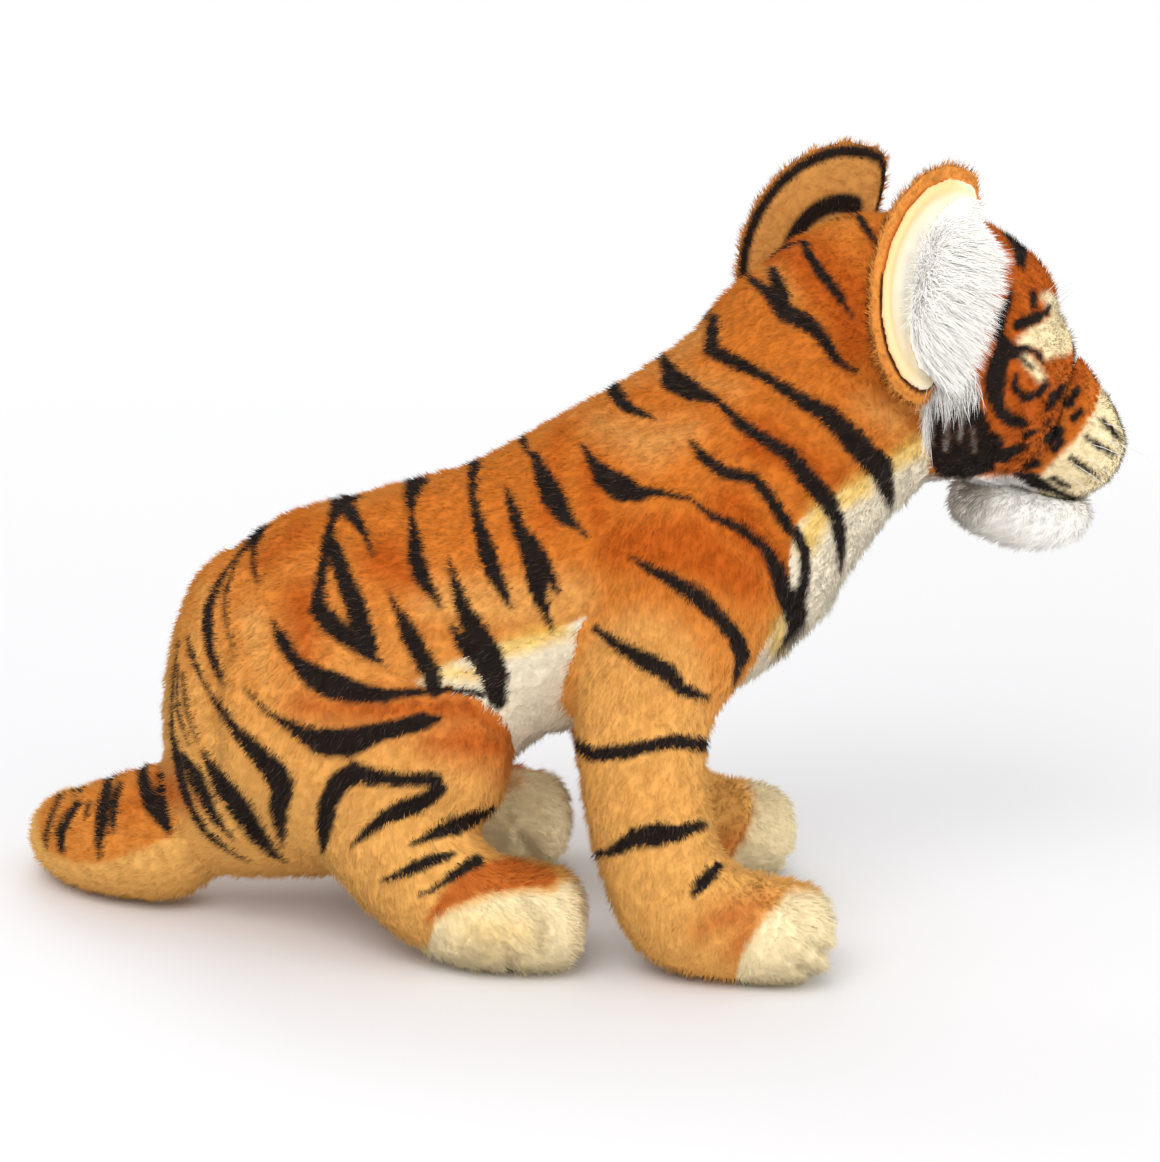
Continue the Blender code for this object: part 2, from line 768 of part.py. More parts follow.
def head_form():
    sections = [
        Section(
            head_place(0, (ahead, 0, up)),
            (1, 0, 0),
            half_side * HEAD_WIDTH,
            half_other * HEAD_DEPTH,
        )
        for ahead, up, half_side, half_other in head_shares
    ]
    back, front = HEAD_BACK_SHARE * HEAD_LENGTH, HEAD_FRONT_SHARE * HEAD_LENGTH
    return Form(smoothed(sections), BODY_SIDES, back, front, BODY_DOME_RINGS)


def snout_form(rows, root_share, length, width, depth, drop, tip_share, segments):
    """The muzzle or the chin: a form that runs ahead from inside the head."""
    root = head_place(0, (root_share, 0, 0)).x
    places = [(root + ahead * length, 0, -down * drop) for ahead, down, _, _ in rows]
    half_sides = [row[2] * width for row in rows]
    half_others = [row[3] * depth for row in rows]
    sections = smoothed(along_path(places, half_sides, half_others))
    tip = tip_share * length
    return Form(sections, segments, tip, tip)


def muzzle_form():
    return snout_form(
        muzzle_shares,
        MUZZLE_ROOT_SHARE,
        MUZZLE_LENGTH,
        MUZZLE_WIDTH,
        MUZZLE_DEPTH,
        MUZZLE_DROP,
        MUZZLE_TIP_SHARE,
        HAUNCH_SIDES,
    )


def chin_form():
    return snout_form(
        chin_shares,
        CHIN_ROOT_SHARE,
        CHIN_LENGTH,
        CHIN_WIDTH,
        CHIN_DEPTH,
        CHIN_DROP,
        CHIN_TIP_SHARE,
        LIMB_SIDES,
    )


def nose_form():
    root = head_place(0, (MUZZLE_ROOT_SHARE, 0, 0)).x
    places = [
        Vector((root + ahead * MUZZLE_LENGTH, 0, -down * MUZZLE_DROP)) for ahead, down in nose_shares
    ]
    way = places[1] - places[0]
    sections = [Section(place, way, NOSE_WIDTH / 2, NOSE_DEPTH / 2) for place in places]
    return Form(sections, LIMB_SIDES, NOSE_LENGTH / 2, NOSE_LENGTH / 2)


def head_rim_region(head):
    """What the head leaves free round the neck, so that it can turn."""
    corners = [(x * NECK_DIAMETER, z * NECK_DIAMETER) for x, z in head_rim_shares]
    below = [(-BEYOND_ALL, -BEYOND_ALL), (corners[0][0], -BEYOND_ALL)]
    outline = below + corners + [(-BEYOND_ALL, corners[-1][1])]
    return add_cutter("head_rim", prism_mesh("head_rim", outline, -BEYOND_ALL, BEYOND_ALL), head)


def rod_cutter(name, start, end, radius, head, sides=ROD_SIDES):
    return add_cutter(name, rod_mesh(name, start, end, radius, sides), head)


def build_eye(side, head):
    """The eye and its washer. Gives back the spaces for the button, the shank and the washer."""
    name = side_name(side)
    way = Vector((EYE_WAY[0], side * EYE_WAY[1], EYE_WAY[2])).normalized()
    back = head_place(side, eye_place_shares) - way * (EYE_SINK_SHARE * EYE_DIAMETER)
    shank_end = back - way * SHANK_LENGTH
    washer_far = back - way * (WASHER_PLACE_SHARE * SHANK_LENGTH)
    washer_near = washer_far + way * WASHER_THICKNESS
    gap = way * SEAM_GAP
    eye_radius, shank_radius = EYE_DIAMETER / 2, SHANK_DIAMETER / 2
    washer_radius = WASHER_DIAMETER / 2
    rim = Section(back, way, eye_radius, eye_radius)
    rings = []
    for k in range(EYE_RINGS):
        angle = math.pi / 2 * k / EYE_RINGS
        rings.append(rim.ring(EYE_SIDES, Y_AXIS, math.cos(angle), EYE_BULGE * math.sin(angle)))
    dome = skin_rings("eye_" + name, rings, None, back + way * EYE_BULGE)
    eye = add_object("eye_" + name, dome, head, material("eye_glass", EYE_AMBER, GLASS_ROUGHNESS))
    root = back + way * (SHANK_ROOT_SHARE * EYE_BULGE)
    shank = rod_cutter("eye_shank_" + name, shank_end, root, shank_radius, head, SHANK_SIDES)
    boolean(eye, shank, "UNION")
    disc = rod_mesh("eye_washer_" + name, washer_far, washer_near, washer_radius)
    finish = material("washer", WASHER_WHITE, WASHER_ROUGHNESS)
    washer = add_object("eye_washer_" + name, disc, head, finish)
    hole_radius = shank_radius + SEAM_GAP
    hole = rod_cutter("eye_hole_" + name, shank_end - gap, back, hole_radius, head, SHANK_SIDES)
    boolean(washer, hole)
    seat_top = back + way * CUT_OVERRUN
    seat_radius = eye_radius + SEAM_GAP
    seat = rod_cutter("eye_seat_" + name, back - gap, seat_top, seat_radius, head, EYE_SIDES)
    pocket_radius = washer_radius + SEAM_GAP
    pocket = rod_cutter("washer_space_" + name, washer_far - gap, washer_near + gap, pocket_radius, head)
    return seat, hole, pocket


class Ear:
    """One ear's own frame: out from the root, along the root, and to its open side."""

    def __init__(self, side, head):
        self.side = side
        self.name = side_name(side)
        self.head = head
        self.middle = head_place(side, ear_place_shares)
        self.along = self.mirrored(EAR_ROOT_WAY)
        facing = self.mirrored(EAR_FACING)
        self.facing = (facing - self.along * facing.dot(self.along)).normalized()
        self.out = self.along.cross(self.facing) * side

    def mirrored(self, way):
        return Vector((way[0], self.side * way[1], way[2])).normalized()

    def place(self, out, along, facing):
        return self.middle + self.out * out + self.along * along + self.facing * facing

    def cup(self, out, along):
        """How far the ear curls towards its open side."""
        across = max(out, 0) / EAR_WIDTH
        up = (along - EAR_MIDDLE_SHARE * EAR_HEIGHT) / (EAR_HEIGHT / 2)
        return EAR_CUP_DEPTH * across * (across + up * up) / 2

    def sheet(self, name, finish, low, high, inset=0.0, reach=1.0, tall=1.0, crown=0.0):
        """A curved sheet between two heights over the ear's surface."""
        width = (EAR_WIDTH - inset) * reach
        half_height = (EAR_HEIGHT / 2 - inset) * tall
        middle = EAR_MIDDLE_SHARE * EAR_HEIGHT
        rings = []
        for k in range(1, EAR_RINGS):
            turn = math.pi * k / EAR_RINGS
            along, size = middle - half_height * math.cos(turn), math.sin(turn)
            upper, lower = [], []
            for j in range(EAR_SPANS + 1):
                share = j / EAR_SPANS
                out = size * (width * share - EAR_ROOT_DEPTH * (1 - share))
                top = high + crown * size * math.sin(math.pi * share)
                upper.append(self.place(out, along, self.cup(out, along) + top))
                lower.append(self.place(out, along, self.cup(out, along) + low))
            rings.append(upper + lower[::-1])
        ends = [self.place(0, middle + s * half_height, (low + high) / 2) for s in (-1, 1)]
        return add_object(name, skin_rings(name, rings, *ends), self.head, finish)

    def roll_rod(self, name, grow, longer):
        half = EAR_ROLL_LENGTH / 2 + longer
        start, end = self.place(0, -half, 0), self.place(0, half, 0)
        radius = EAR_ROLL_DIAMETER / 2 + grow
        return add_cutter(name, rod_mesh(name, start, end, radius), self.head)

    def folded_space(self, head_form, angle):
        """The head's space as the ear meets it once it has folded by angle degrees."""
        made = head_form.space(f"ear_fold_space_{self.name}_{angle:+.0f}", self.head)
        root = Matrix.Translation(self.middle)
        turn = Matrix.Rotation(math.radians(angle), 4, self.along)
        made.matrix_local = root @ turn @ root.inverted()
        return made

    def build(self, head_form, head_space):
        """Fur back, lining and tuft. The rolled seam at the root lies in a groove."""
        back_low = -EAR_FUR_THICKNESS / 2
        lining_low = EAR_FUR_THICKNESS / 2 + SEAM_GAP
        tuft_low = lining_low + EAR_LINING_THICKNESS + SEAM_GAP
        back = self.sheet("ear_back_" + self.name, fur("orange", FUR_ORANGE), back_low, -back_low)
        lining = self.sheet(
            "ear_lining_" + self.name,
            material("suede_cream", SUEDE_CREAM, SUEDE_ROUGHNESS),
            lining_low,
            lining_low + EAR_LINING_THICKNESS,
            inset=EAR_LINING_INSET,
        )
        edge = EAR_TUFT_EDGE_SHARE * EAR_TUFT_THICKNESS
        tuft = self.sheet(
            "ear_tuft_" + self.name,
            fur("white", FUR_WHITE),
            tuft_low,
            tuft_low + edge,
            inset=EAR_LINING_INSET,
            reach=EAR_TUFT_WIDTH_SHARE,
            tall=EAR_TUFT_HEIGHT_SHARE,
            crown=EAR_TUFT_THICKNESS - edge,
        )
        folds = [self.folded_space(head_form, angle) for angle in (-EAR_FOLD, EAR_FOLD)]
        cut([back, lining, tuft], [head_space, *folds])
        cut([lining, tuft], [self.roll_rod("ear_roll_space_" + self.name, SEAM_GAP, SEAM_GAP)])
        boolean(back, self.roll_rod("ear_roll_" + self.name, 0, 0), "UNION")
        return self.roll_rod("ear_groove_" + self.name, SEAM_GAP, SWING_GAP)


def build_head():
    head = add_frame("head_frame", neck_pivot(), HEAD_TURN)
    form, muzzle, chin, nose = head_form(), muzzle_form(), chin_form(), nose_form()
    head_space = form.space("head_space", head)
    ear_space = form.space("ear_space", head, SWING_GAP)
    muzzle_space = muzzle.space("muzzle_space", head)
    neck_radius = NECK_DIAMETER / 2 + BALL_GAP
    neck_dish = add_cutter("neck_dish", ball_mesh("neck_dish", (0, 0, 0), neck_radius, NECK_DISH_SIDES), head)
    ends = [neck_dish, head_rim_region(head)]
    seats = []
    for side in (1, -1):
        seat, hole, pocket = build_eye(side, head)
        seats.append(seat)
        ends += [seat, hole, pocket, Ear(side, head).build(form, ear_space)]
    cover = form.cover("head_cover", fur("orange", FUR_ORANGE), head)
    cut([cover, form.filling("head_filling", head)], ends)
    white, cream = fur("white", FUR_WHITE), fur("cream", FUR_CREAM)
    snout = [muzzle.cover("muzzle_cover", cream, head), muzzle.filling("muzzle_filling", head)]
    jaw = [chin.cover("chin_cover", white, head), chin.filling("chin_filling", head)]
    cut(snout, [head_space] + seats)
    cut(jaw, [head_space, muzzle_space])
    pad = add_object("nose", nose.mesh("nose"), head, material("nose_suede", NOSE_PINK, NOSE_ROUGHNESS))
    cut([pad], [muzzle_space])


def build_tiger():
    remove_all_objects()
    under_ground = box_outline(-BEYOND_ALL, BEYOND_ALL, -BEYOND_ALL, 0)
    ground = add_cutter("ground", prism_mesh("ground", under_ground, -BEYOND_ALL, BEYOND_ALL))
    torso_space = build_torso()
    for side in (1, -1):
        build_front_leg(side, ground)
        build_hind_leg(side, torso_space, ground)
    build_tail()
    build_head()


build_tiger()
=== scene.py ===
# %% [markdown]
# # A plush tiger cub
#
# This lesson dresses a jointed frame of plain solids as a striped plush toy. The frame holds
# the sizes and the joints. Here each fur cover becomes a smooth skin, and the pile is made
# as thousands of fine tapered hairs that grow from it. Everything is in metres, +X is the
# way the cub faces, and +Y is its left.

# %% Load the frame
import json
import math

import bmesh
import bpy
import numpy as np
from mathutils import Matrix, Vector
from mathutils.bvhtree import BVHTree


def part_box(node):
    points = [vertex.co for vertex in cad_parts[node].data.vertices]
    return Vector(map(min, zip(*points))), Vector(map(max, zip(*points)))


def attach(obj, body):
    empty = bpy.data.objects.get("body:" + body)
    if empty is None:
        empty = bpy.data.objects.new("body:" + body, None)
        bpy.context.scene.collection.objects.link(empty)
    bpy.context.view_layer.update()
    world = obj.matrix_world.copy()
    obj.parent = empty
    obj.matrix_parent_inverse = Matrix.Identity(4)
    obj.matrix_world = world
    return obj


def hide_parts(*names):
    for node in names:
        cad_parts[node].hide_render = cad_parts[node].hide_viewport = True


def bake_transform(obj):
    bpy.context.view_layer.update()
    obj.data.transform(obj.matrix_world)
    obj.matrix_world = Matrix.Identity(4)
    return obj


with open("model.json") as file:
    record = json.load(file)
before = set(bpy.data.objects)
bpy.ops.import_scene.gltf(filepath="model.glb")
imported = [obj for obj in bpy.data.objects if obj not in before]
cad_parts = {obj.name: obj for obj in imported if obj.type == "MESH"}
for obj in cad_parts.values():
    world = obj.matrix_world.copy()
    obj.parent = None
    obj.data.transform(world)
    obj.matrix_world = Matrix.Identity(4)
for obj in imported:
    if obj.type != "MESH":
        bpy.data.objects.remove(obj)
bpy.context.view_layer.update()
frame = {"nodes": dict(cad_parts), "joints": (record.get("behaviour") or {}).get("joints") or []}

# %% [markdown]
# ## The camera
#
# The camera stands at the photograph's place: almost square to the cub's right side, a
# little above it, and tipped a few degrees about its own line of sight. Its focal length is
# given in pixels of the photograph, so the same numbers also tell where a point of the cub
# shows in the photograph. The markings below are placed with that.

# %% Place the camera
PICTURE_WIDTH, PICTURE_HEIGHT = 1160, 1162
CAMERA_AZIMUTH = -3.5
CAMERA_ELEVATION = 12.85
CAMERA_ROLL = 3.2
CAMERA_DISTANCE = 1.39
CAMERA_TARGET = np.array([0.0006, -0.0125, 0.1655])
METRES_PER_PIXEL = 0.00046
FOCAL_PIXELS = CAMERA_DISTANCE / METRES_PER_PIXEL
SENSOR_MM = 36.0


def add_object(name, data):
    """A new object in the scene, at the origin."""
    made = bpy.data.objects.new(name, data)
    bpy.context.scene.collection.objects.link(made)
    return made


def camera_axes():
    """The camera's right, up and back ways, as rows."""
    turn, lift, roll = (math.radians(a) for a in (CAMERA_AZIMUTH, CAMERA_ELEVATION, CAMERA_ROLL))
    back = np.array([
        math.sin(turn) * math.cos(lift), -math.cos(turn) * math.cos(lift), math.sin(lift)
    ])
    level = np.array([math.cos(turn), math.sin(turn), 0.0])
    above = np.cross(back, level)
    right = level * math.cos(roll) + above * math.sin(roll)
    up = above * math.cos(roll) - level * math.sin(roll)
    return np.array([right, up, back])


def in_picture(points):
    """Where points show in the photograph, in pixels from its top left corner."""
    right, up, back = camera_axes()
    seen = points - (CAMERA_TARGET + back * CAMERA_DISTANCE)
    depth = -(seen @ back)
    x = PICTURE_WIDTH / 2 + FOCAL_PIXELS * (seen @ right) / depth
    y = PICTURE_HEIGHT / 2 - FOCAL_PIXELS * (seen @ up) / depth
    return np.stack([x, y], 1)


camera = add_object("camera", bpy.data.cameras.new("camera"))
turned = Matrix(camera_axes().T.tolist()).to_4x4()
camera.matrix_world = Matrix.Translation(CAMERA_TARGET + camera_axes()[2] * CAMERA_DISTANCE) @ turned
camera.data.sensor_fit = "VERTICAL"
camera.data.sensor_height = SENSOR_MM
camera.data.lens = FOCAL_PIXELS * SENSOR_MM / PICTURE_HEIGHT
bpy.context.scene.camera = camera
print("camera lens in mm:", round(camera.data.lens, 1))

# %% [markdown]
# ## Materials as sums
#
# Shader maths reads better as plain sums than as a web of nodes. `Value` wraps one socket,
# and each Python operator on it adds the Math node that does the same. `Finish` is one
# material, and its `node` method adds any other node with its settings and its inputs.


# %% A wrapped socket and a material
class Value:
    """A number that varies over a surface."""

    def __init__(self, finish, socket):
        self.finish = finish
        self.socket = socket

    def maths(self, operation, *values):
        node = self.finish.node("ShaderNodeMath", {"operation": operation}, *values)
        return Value(self.finish, node.outputs[0])

    def __add__(self, other):
        return self.maths("ADD", self, other)

    def __sub__(self, other):
        return self.maths("SUBTRACT", self, other)

    def __rsub__(self, other):
        return self.maths("SUBTRACT", other, self)

    def __mul__(self, other):
        return self.maths("MULTIPLY", self, other)

    def clamped(self):
        return self.maths("MINIMUM", self.maths("MAXIMUM", self, 0.0), 1.0)

class Finish:
    """One material, with its Principled shader and the nodes that feed it."""

    def __init__(self, name, roughness, **constants):
        self.material = bpy.data.materials.new(name)
        self.material.use_nodes = True
        self.tree = self.material.node_tree
        self.shader = self.tree.nodes["Principled BSDF"]
        self.shader.inputs["Roughness"].default_value = roughness
        for socket, value in constants.items():
            self.shader.inputs[socket.replace("_", " ")].default_value = value

    def join(self, value, socket):
        if isinstance(value, Value):
            value = value.socket
        if isinstance(value, bpy.types.NodeSocket):
            self.tree.links.new(value, socket)
        else:
            socket.default_value = value

    def node(self, kind, settings=None, *values, **named):
        """Adds a node: its settings first, then the values or links of its inputs."""
        made = self.tree.nodes.new(kind)
        for setting, value in (settings or {}).items():
            setattr(made, setting, value)
        for socket, value in zip(made.inputs, values):
            self.join(value, socket)
        for name, value in named.items():
            self.join(value, made.inputs[name.replace("_", " ")])
        return made

    def attribute(self, name):
        """An attribute's red, green, blue and alpha as values."""
        read = self.node("ShaderNodeAttribute", {"attribute_name": name})
        parts = self.node("ShaderNodeSeparateColor", None, read.outputs["Color"])
        return [Value(self, s) for s in (*parts.outputs[:3], read.outputs["Alpha"])]

    def noise(self, scale, detail=2.0):
        place = self.node("ShaderNodeTexCoord").outputs["Object"]
        made = self.node("ShaderNodeTexNoise", None, place, Scale=scale, Detail=detail)
        return Value(self, made.outputs["Fac"])

    def mixed(self, low, high, share, blend="MIX"):
        """The colour between two colours."""
        made = self.node("ShaderNodeMix", {"data_type": "RGBA", "blend_type": blend})
        for value, socket in ((share, made.inputs[0]), (low, made.inputs[6]), (high, made.inputs[7])):
            self.join(value, socket)
        return made.outputs[2]

    def feed(self, socket, value):
        self.join(value, self.shader.inputs[socket])

    def bump(self, height, distance, strength):
        made = self.node("ShaderNodeBump", None, Strength=strength, Distance=distance, Height=height)
        self.feed("Normal", made.outputs["Normal"])


def colour(red, green, blue):
    """A colour as a screen shows it, from 0 to 255, as the linear colour that nodes take."""
    parts = [c / 255 for c in (red, green, blue)]
    linear = [c / 12.92 if c <= 0.04045 else ((c + 0.055) / 1.055) ** 2.4 for c in parts]
    return (*linear, 1.0)


# %% [markdown]
# ## The stage
#
# The photograph has a white paper floor that runs into a white wall. The floor here is a
# pale sheet that takes the cub's shadow, and it fades to pure white far from the cub, so no
# edge of it shows. The lamps are large and soft. The strongest, above and beside the camera,
# gives the fur its light side, and a pale world fills the shadows.

# %% Floor, world and lamps
FLOOR_HALF = 4.0
FADE_START, FADE_END = 0.30, 1.5


def deselect_all():
    bpy.ops.object.select_all(action="DESELECT")


def add_floor():
    deselect_all()
    bpy.ops.mesh.primitive_plane_add(size=2 * FLOOR_HALF)
    floor = bpy.context.object
    floor.name = "floor"
    paper = Finish("paper", 0.9, Specular_IOR_Level=0.1)
    paper.feed("Base Color", colour(234, 234, 236))
    place = paper.node("ShaderNodeTexCoord").outputs["Object"]
    away = Value(paper, paper.node("ShaderNodeVectorMath", {"operation": "LENGTH"}, place).outputs["Value"])
    fade = ((away - FADE_START) * (1 / (FADE_END - FADE_START))).clamped()
    white = paper.node("ShaderNodeEmission", None, (1, 1, 1, 1), 1.0)
    both = paper.node("ShaderNodeMixShader", None, fade)
    paper.join(paper.shader.outputs[0], both.inputs[1])
    paper.join(white.outputs[0], both.inputs[2])
    paper.join(both.outputs[0], paper.tree.nodes["Material Output"].inputs["Surface"])
    floor.data.materials.append(paper.material)


def set_world(strength):
    world = bpy.data.worlds.new("studio")
    world.use_nodes = True
    bpy.context.scene.world = world
    nodes, links = world.node_tree.nodes, world.node_tree.links
    ambient, shown = nodes["Background"], nodes.new("ShaderNodeBackground")
    for background, power in ((ambient, strength), (shown, 1.0)):
        background.inputs["Color"].default_value = (1, 1, 1, 1)
        background.inputs["Strength"].default_value = power
    rays = nodes.new("ShaderNodeLightPath")
    seen = nodes.new("ShaderNodeMath")
    seen.operation = "MAXIMUM"
    links.new(rays.outputs["Is Camera Ray"], seen.inputs[0])
    links.new(rays.outputs["Is Glossy Ray"], seen.inputs[1])
    both = nodes.new("ShaderNodeMixShader")
    links.new(seen.outputs[0], both.inputs[0])
    links.new(ambient.outputs[0], both.inputs[1])
    links.new(shown.outputs[0], both.inputs[2])
    links.new(both.outputs[0], nodes["World Output"].inputs["Surface"])


def add_lamp(name, place, size, power):
    """A square lamp that looks at the cub's middle."""
    lamp = add_object(name, bpy.data.lights.new(name, "AREA"))
    lamp.data.size = size
    lamp.data.energy = power
    way = Vector(CAMERA_TARGET) - Vector(place)
    lamp.matrix_world = Matrix.Translation(place) @ way.to_track_quat("-Z", "Y").to_matrix().to_4x4()


add_floor()
set_world(0.78)
for lamp in (
    ("key", (-0.5, -1.35, 1.45), 1.2, 19), ("fill", (1.5, -1.0, 0.6), 1.0, 9),
    ("back", (-0.4, 1.6, 1.5), 1.2, 9),
):
    add_lamp(*lamp)
bpy.context.scene.view_settings.view_transform = "Standard"

# %% [markdown]
# ## Markings
#
# On the real toy the stripes are airbrushed on the sewn plush. Each is written here as a
# stroke: a few points with a width at each, in pixels of the photograph. A point of the
# skin is looked up where it shows in the photograph, so a stroke lands where it lies there.
# The cub's far side takes the same strokes by its mirror image. The head is turned on the
# neck, so it is mirrored in its own frame.

# %% Strokes on the back, the rump and the haunch
body_stripes = [
    [(347, 490, 24), (336, 508, 12), (330, 523, 6), (328, 544, 13), (323, 566, 9), (318, 592, 10),
     (318, 608, 16), (330, 623, 18), (349, 638, 16), (368, 654, 10), (385, 665, 3)],
    [(334, 548, 12), (343, 577, 15), (353, 600, 17), (360, 622, 18), (372, 648, 10)],
    [(347, 508, 14), (358, 524, 9), (366, 537, 6), (372, 554, 2)],
    [(418, 477, 16), (410, 492, 13), (411, 514, 5), (413, 533, 9), (415, 556, 14), (421, 577, 14),
     (431, 592, 9), (441, 608, 2)],
    [(478, 449, 13), (472, 473, 7), (472, 496, 7), (478, 522, 10), (487, 553, 16), (495, 576, 14),
     (504, 595, 8), (514, 612, 2)],
    [(506, 488, 3), (512, 507, 9), (518, 530, 12), (531, 549, 19), (538, 568, 24), (537, 589, 16),
     (543, 607, 10), (552, 630, 3)],
    [(545, 568, 12), (552, 580, 8), (558, 595, 2)],
    [(520, 433, 9), (525, 450, 4), (535, 457, 7), (543, 477, 16), (552, 496, 20), (564, 517, 14),
     (577, 526, 7), (588, 539, 2)],
    [(447, 557, 2), (455, 584, 8), (462, 607, 12), (476, 635, 22), (484, 654, 28), (493, 674, 24),
     (497, 700, 16)],
    [(451, 626, 3), (462, 645, 12), (476, 656, 16)],
    [(388, 591, 2), (397, 610, 6), (409, 633, 16), (420, 656, 16), (430, 672, 16), (434, 690, 14)],
    [(272, 621, 3), (282, 642, 12), (295, 661, 11), (313, 677, 20), (334, 686, 23), (357, 692, 18),
     (380, 696, 13), (404, 693, 7), (450, 689, 6), (496, 697, 5)],
    [(244, 688, 2), (265, 711, 4), (284, 723, 7), (303, 734, 14), (322, 743, 23), (347, 743, 25),
     (370, 736, 18), (399, 728, 14), (424, 721, 15), (439, 719, 5)],
    [(322, 854, 3), (324, 829, 14), (327, 804, 16), (339, 783, 18), (354, 773, 18), (375, 778, 14),
     (404, 781, 11), (435, 780, 13), (440, 790, 12), (419, 804, 15), (400, 811, 15), (385, 818, 12),
     (366, 833, 8), (350, 848, 2)],
    [(494, 810, 5), (477, 818, 12), (457, 826, 15), (434, 835, 10), (411, 845, 2)],
    [(455, 854, 4), (434, 860, 11), (411, 870, 10), (381, 882, 3)],
    [(478, 861, 11), (457, 873, 9), (438, 887, 5), (419, 896, 2)],
    [(280, 508, 5), (265, 519, 9), (255, 530, 15), (248, 547, 6), (251, 566, 5), (259, 588, 2)],
    [(252, 532, 12), (236, 546, 7), (224, 556, 5), (215, 569, 5), (209, 589, 8), (205, 608, 11),
     (207, 629, 10), (209, 648, 8), (215, 667, 7), (223, 686, 2)],
    [(226, 560, 4), (221, 592, 4), (225, 619, 3), (233, 656, 1)],
    [(184, 638, 4), (194, 663, 5), (205, 686, 3), (221, 711, 7), (236, 732, 10), (257, 754, 15),
     (274, 772, 20), (282, 787, 19), (278, 810, 16), (280, 829, 10), (282, 847, 2)],
    [(201, 751, 2), (211, 768, 9), (222, 787, 16), (240, 810, 18), (255, 833, 16), (270, 852, 8),
     (286, 863, 2)],
    [(182, 754, 5), (194, 776, 14), (205, 799, 12), (215, 820, 8), (233, 840, 2)],
    [(168, 730, 6), (176, 760, 12), (182, 787, 9), (192, 812, 7), (205, 833, 6), (226, 850, 4),
     (247, 862, 2)],
    [(173, 665, 4), (176, 709, 4), (188, 745, 2)],
    [(181, 673, 3), (186, 712, 3), (197, 742, 2)],
    [(168, 640, 3), (166, 690, 5), (168, 740, 6)],
]
neck_stripes = [
    [(712, 319, 10), (710, 350, 12), (730, 360, 12), (764, 376, 9), (800, 400, 13), (825, 413, 16),
     (846, 433, 20), (866, 454, 22), (880, 468, 22), (886, 487, 14), (893, 514, 3)],
    [(664, 360, 8), (672, 380, 20), (690, 390, 18), (718, 401, 6), (739, 423, 10), (764, 439, 11),
     (790, 456, 14), (810, 482, 17), (828, 502, 16), (838, 523, 12), (841, 546, 10), (841, 576, 2)],
    [(612, 388, 12), (622, 403, 12), (636, 411, 8), (656, 420, 2)],
    [(690, 441, 3), (703, 457, 10), (723, 472, 12), (754, 479, 10), (769, 497, 10), (782, 518, 12),
     (791, 532, 8)],
    [(795, 531, 9), (805, 553, 10), (805, 579, 9), (800, 599, 12)],
    [(751, 280, 7), (766, 290, 10), (785, 312, 17), (812, 326, 13), (826, 343, 11), (837, 361, 9),
     (857, 373, 3)],
    [(767, 256, 8), (773, 275, 10), (780, 291, 13), (786, 312, 12)],
    [(796, 222, 6), (806, 250, 8), (820, 272, 10), (836, 292, 9), (852, 316, 4)],
    [(853, 203, 5), (862, 222, 7), (870, 234, 7), (878, 246, 3)],
    [(581, 444, 3), (592, 461, 9), (604, 477, 19), (621, 488, 23), (638, 494, 14), (654, 492, 7),
     (690, 499, 3), (713, 517, 7), (739, 528, 9), (764, 547, 9), (777, 569, 14), (784, 592, 15),
     (795, 612, 20), (797, 632, 15), (784, 653, 9), (771, 668, 3)],
]
leg_stripes = [
    [(629, 556, 2), (649, 569, 8), (672, 581, 12), (698, 597, 16), (718, 617, 13), (736, 638, 14),
     (743, 656, 14), (734, 686, 3)],
    [(595, 629, 6), (616, 645, 10), (644, 661, 16), (667, 673, 16), (682, 690, 12), (706, 698, 8)],
    [(566, 740, 8), (591, 755, 12), (624, 752, 13), (654, 746, 10), (672, 741, 13), (706, 746, 12)],
    [(592, 857, 6), (616, 850, 10), (635, 839, 17), (658, 835, 20), (679, 833, 13), (704, 825, 8)],
    [(719, 866, 8), (710, 876, 12), (702, 884, 13), (694, 895, 6)],
]
tail_stripes = [
    [(140, 760, 7), (144, 784, 12), (150, 803, 14), (161, 819, 11), (169, 833, 4)],
    [(162, 750, 6), (161, 778, 9), (161, 797, 10), (165, 818, 10), (169, 833, 4)],
    [(107, 785, 10), (103, 806, 12), (101, 824, 11), (98, 842, 7), (99, 859, 2)],
    [(119, 782, 4), (113, 806, 8), (112, 821, 6), (113, 833, 2)],
    [(77, 803, 6), (66, 818, 9), (60, 833, 10), (61, 850, 6)],
    [(53, 812, 4), (46, 827, 5), (43, 839, 5), (44, 851, 4)],
    [(89, 803, 5), (84, 820, 2)],
]
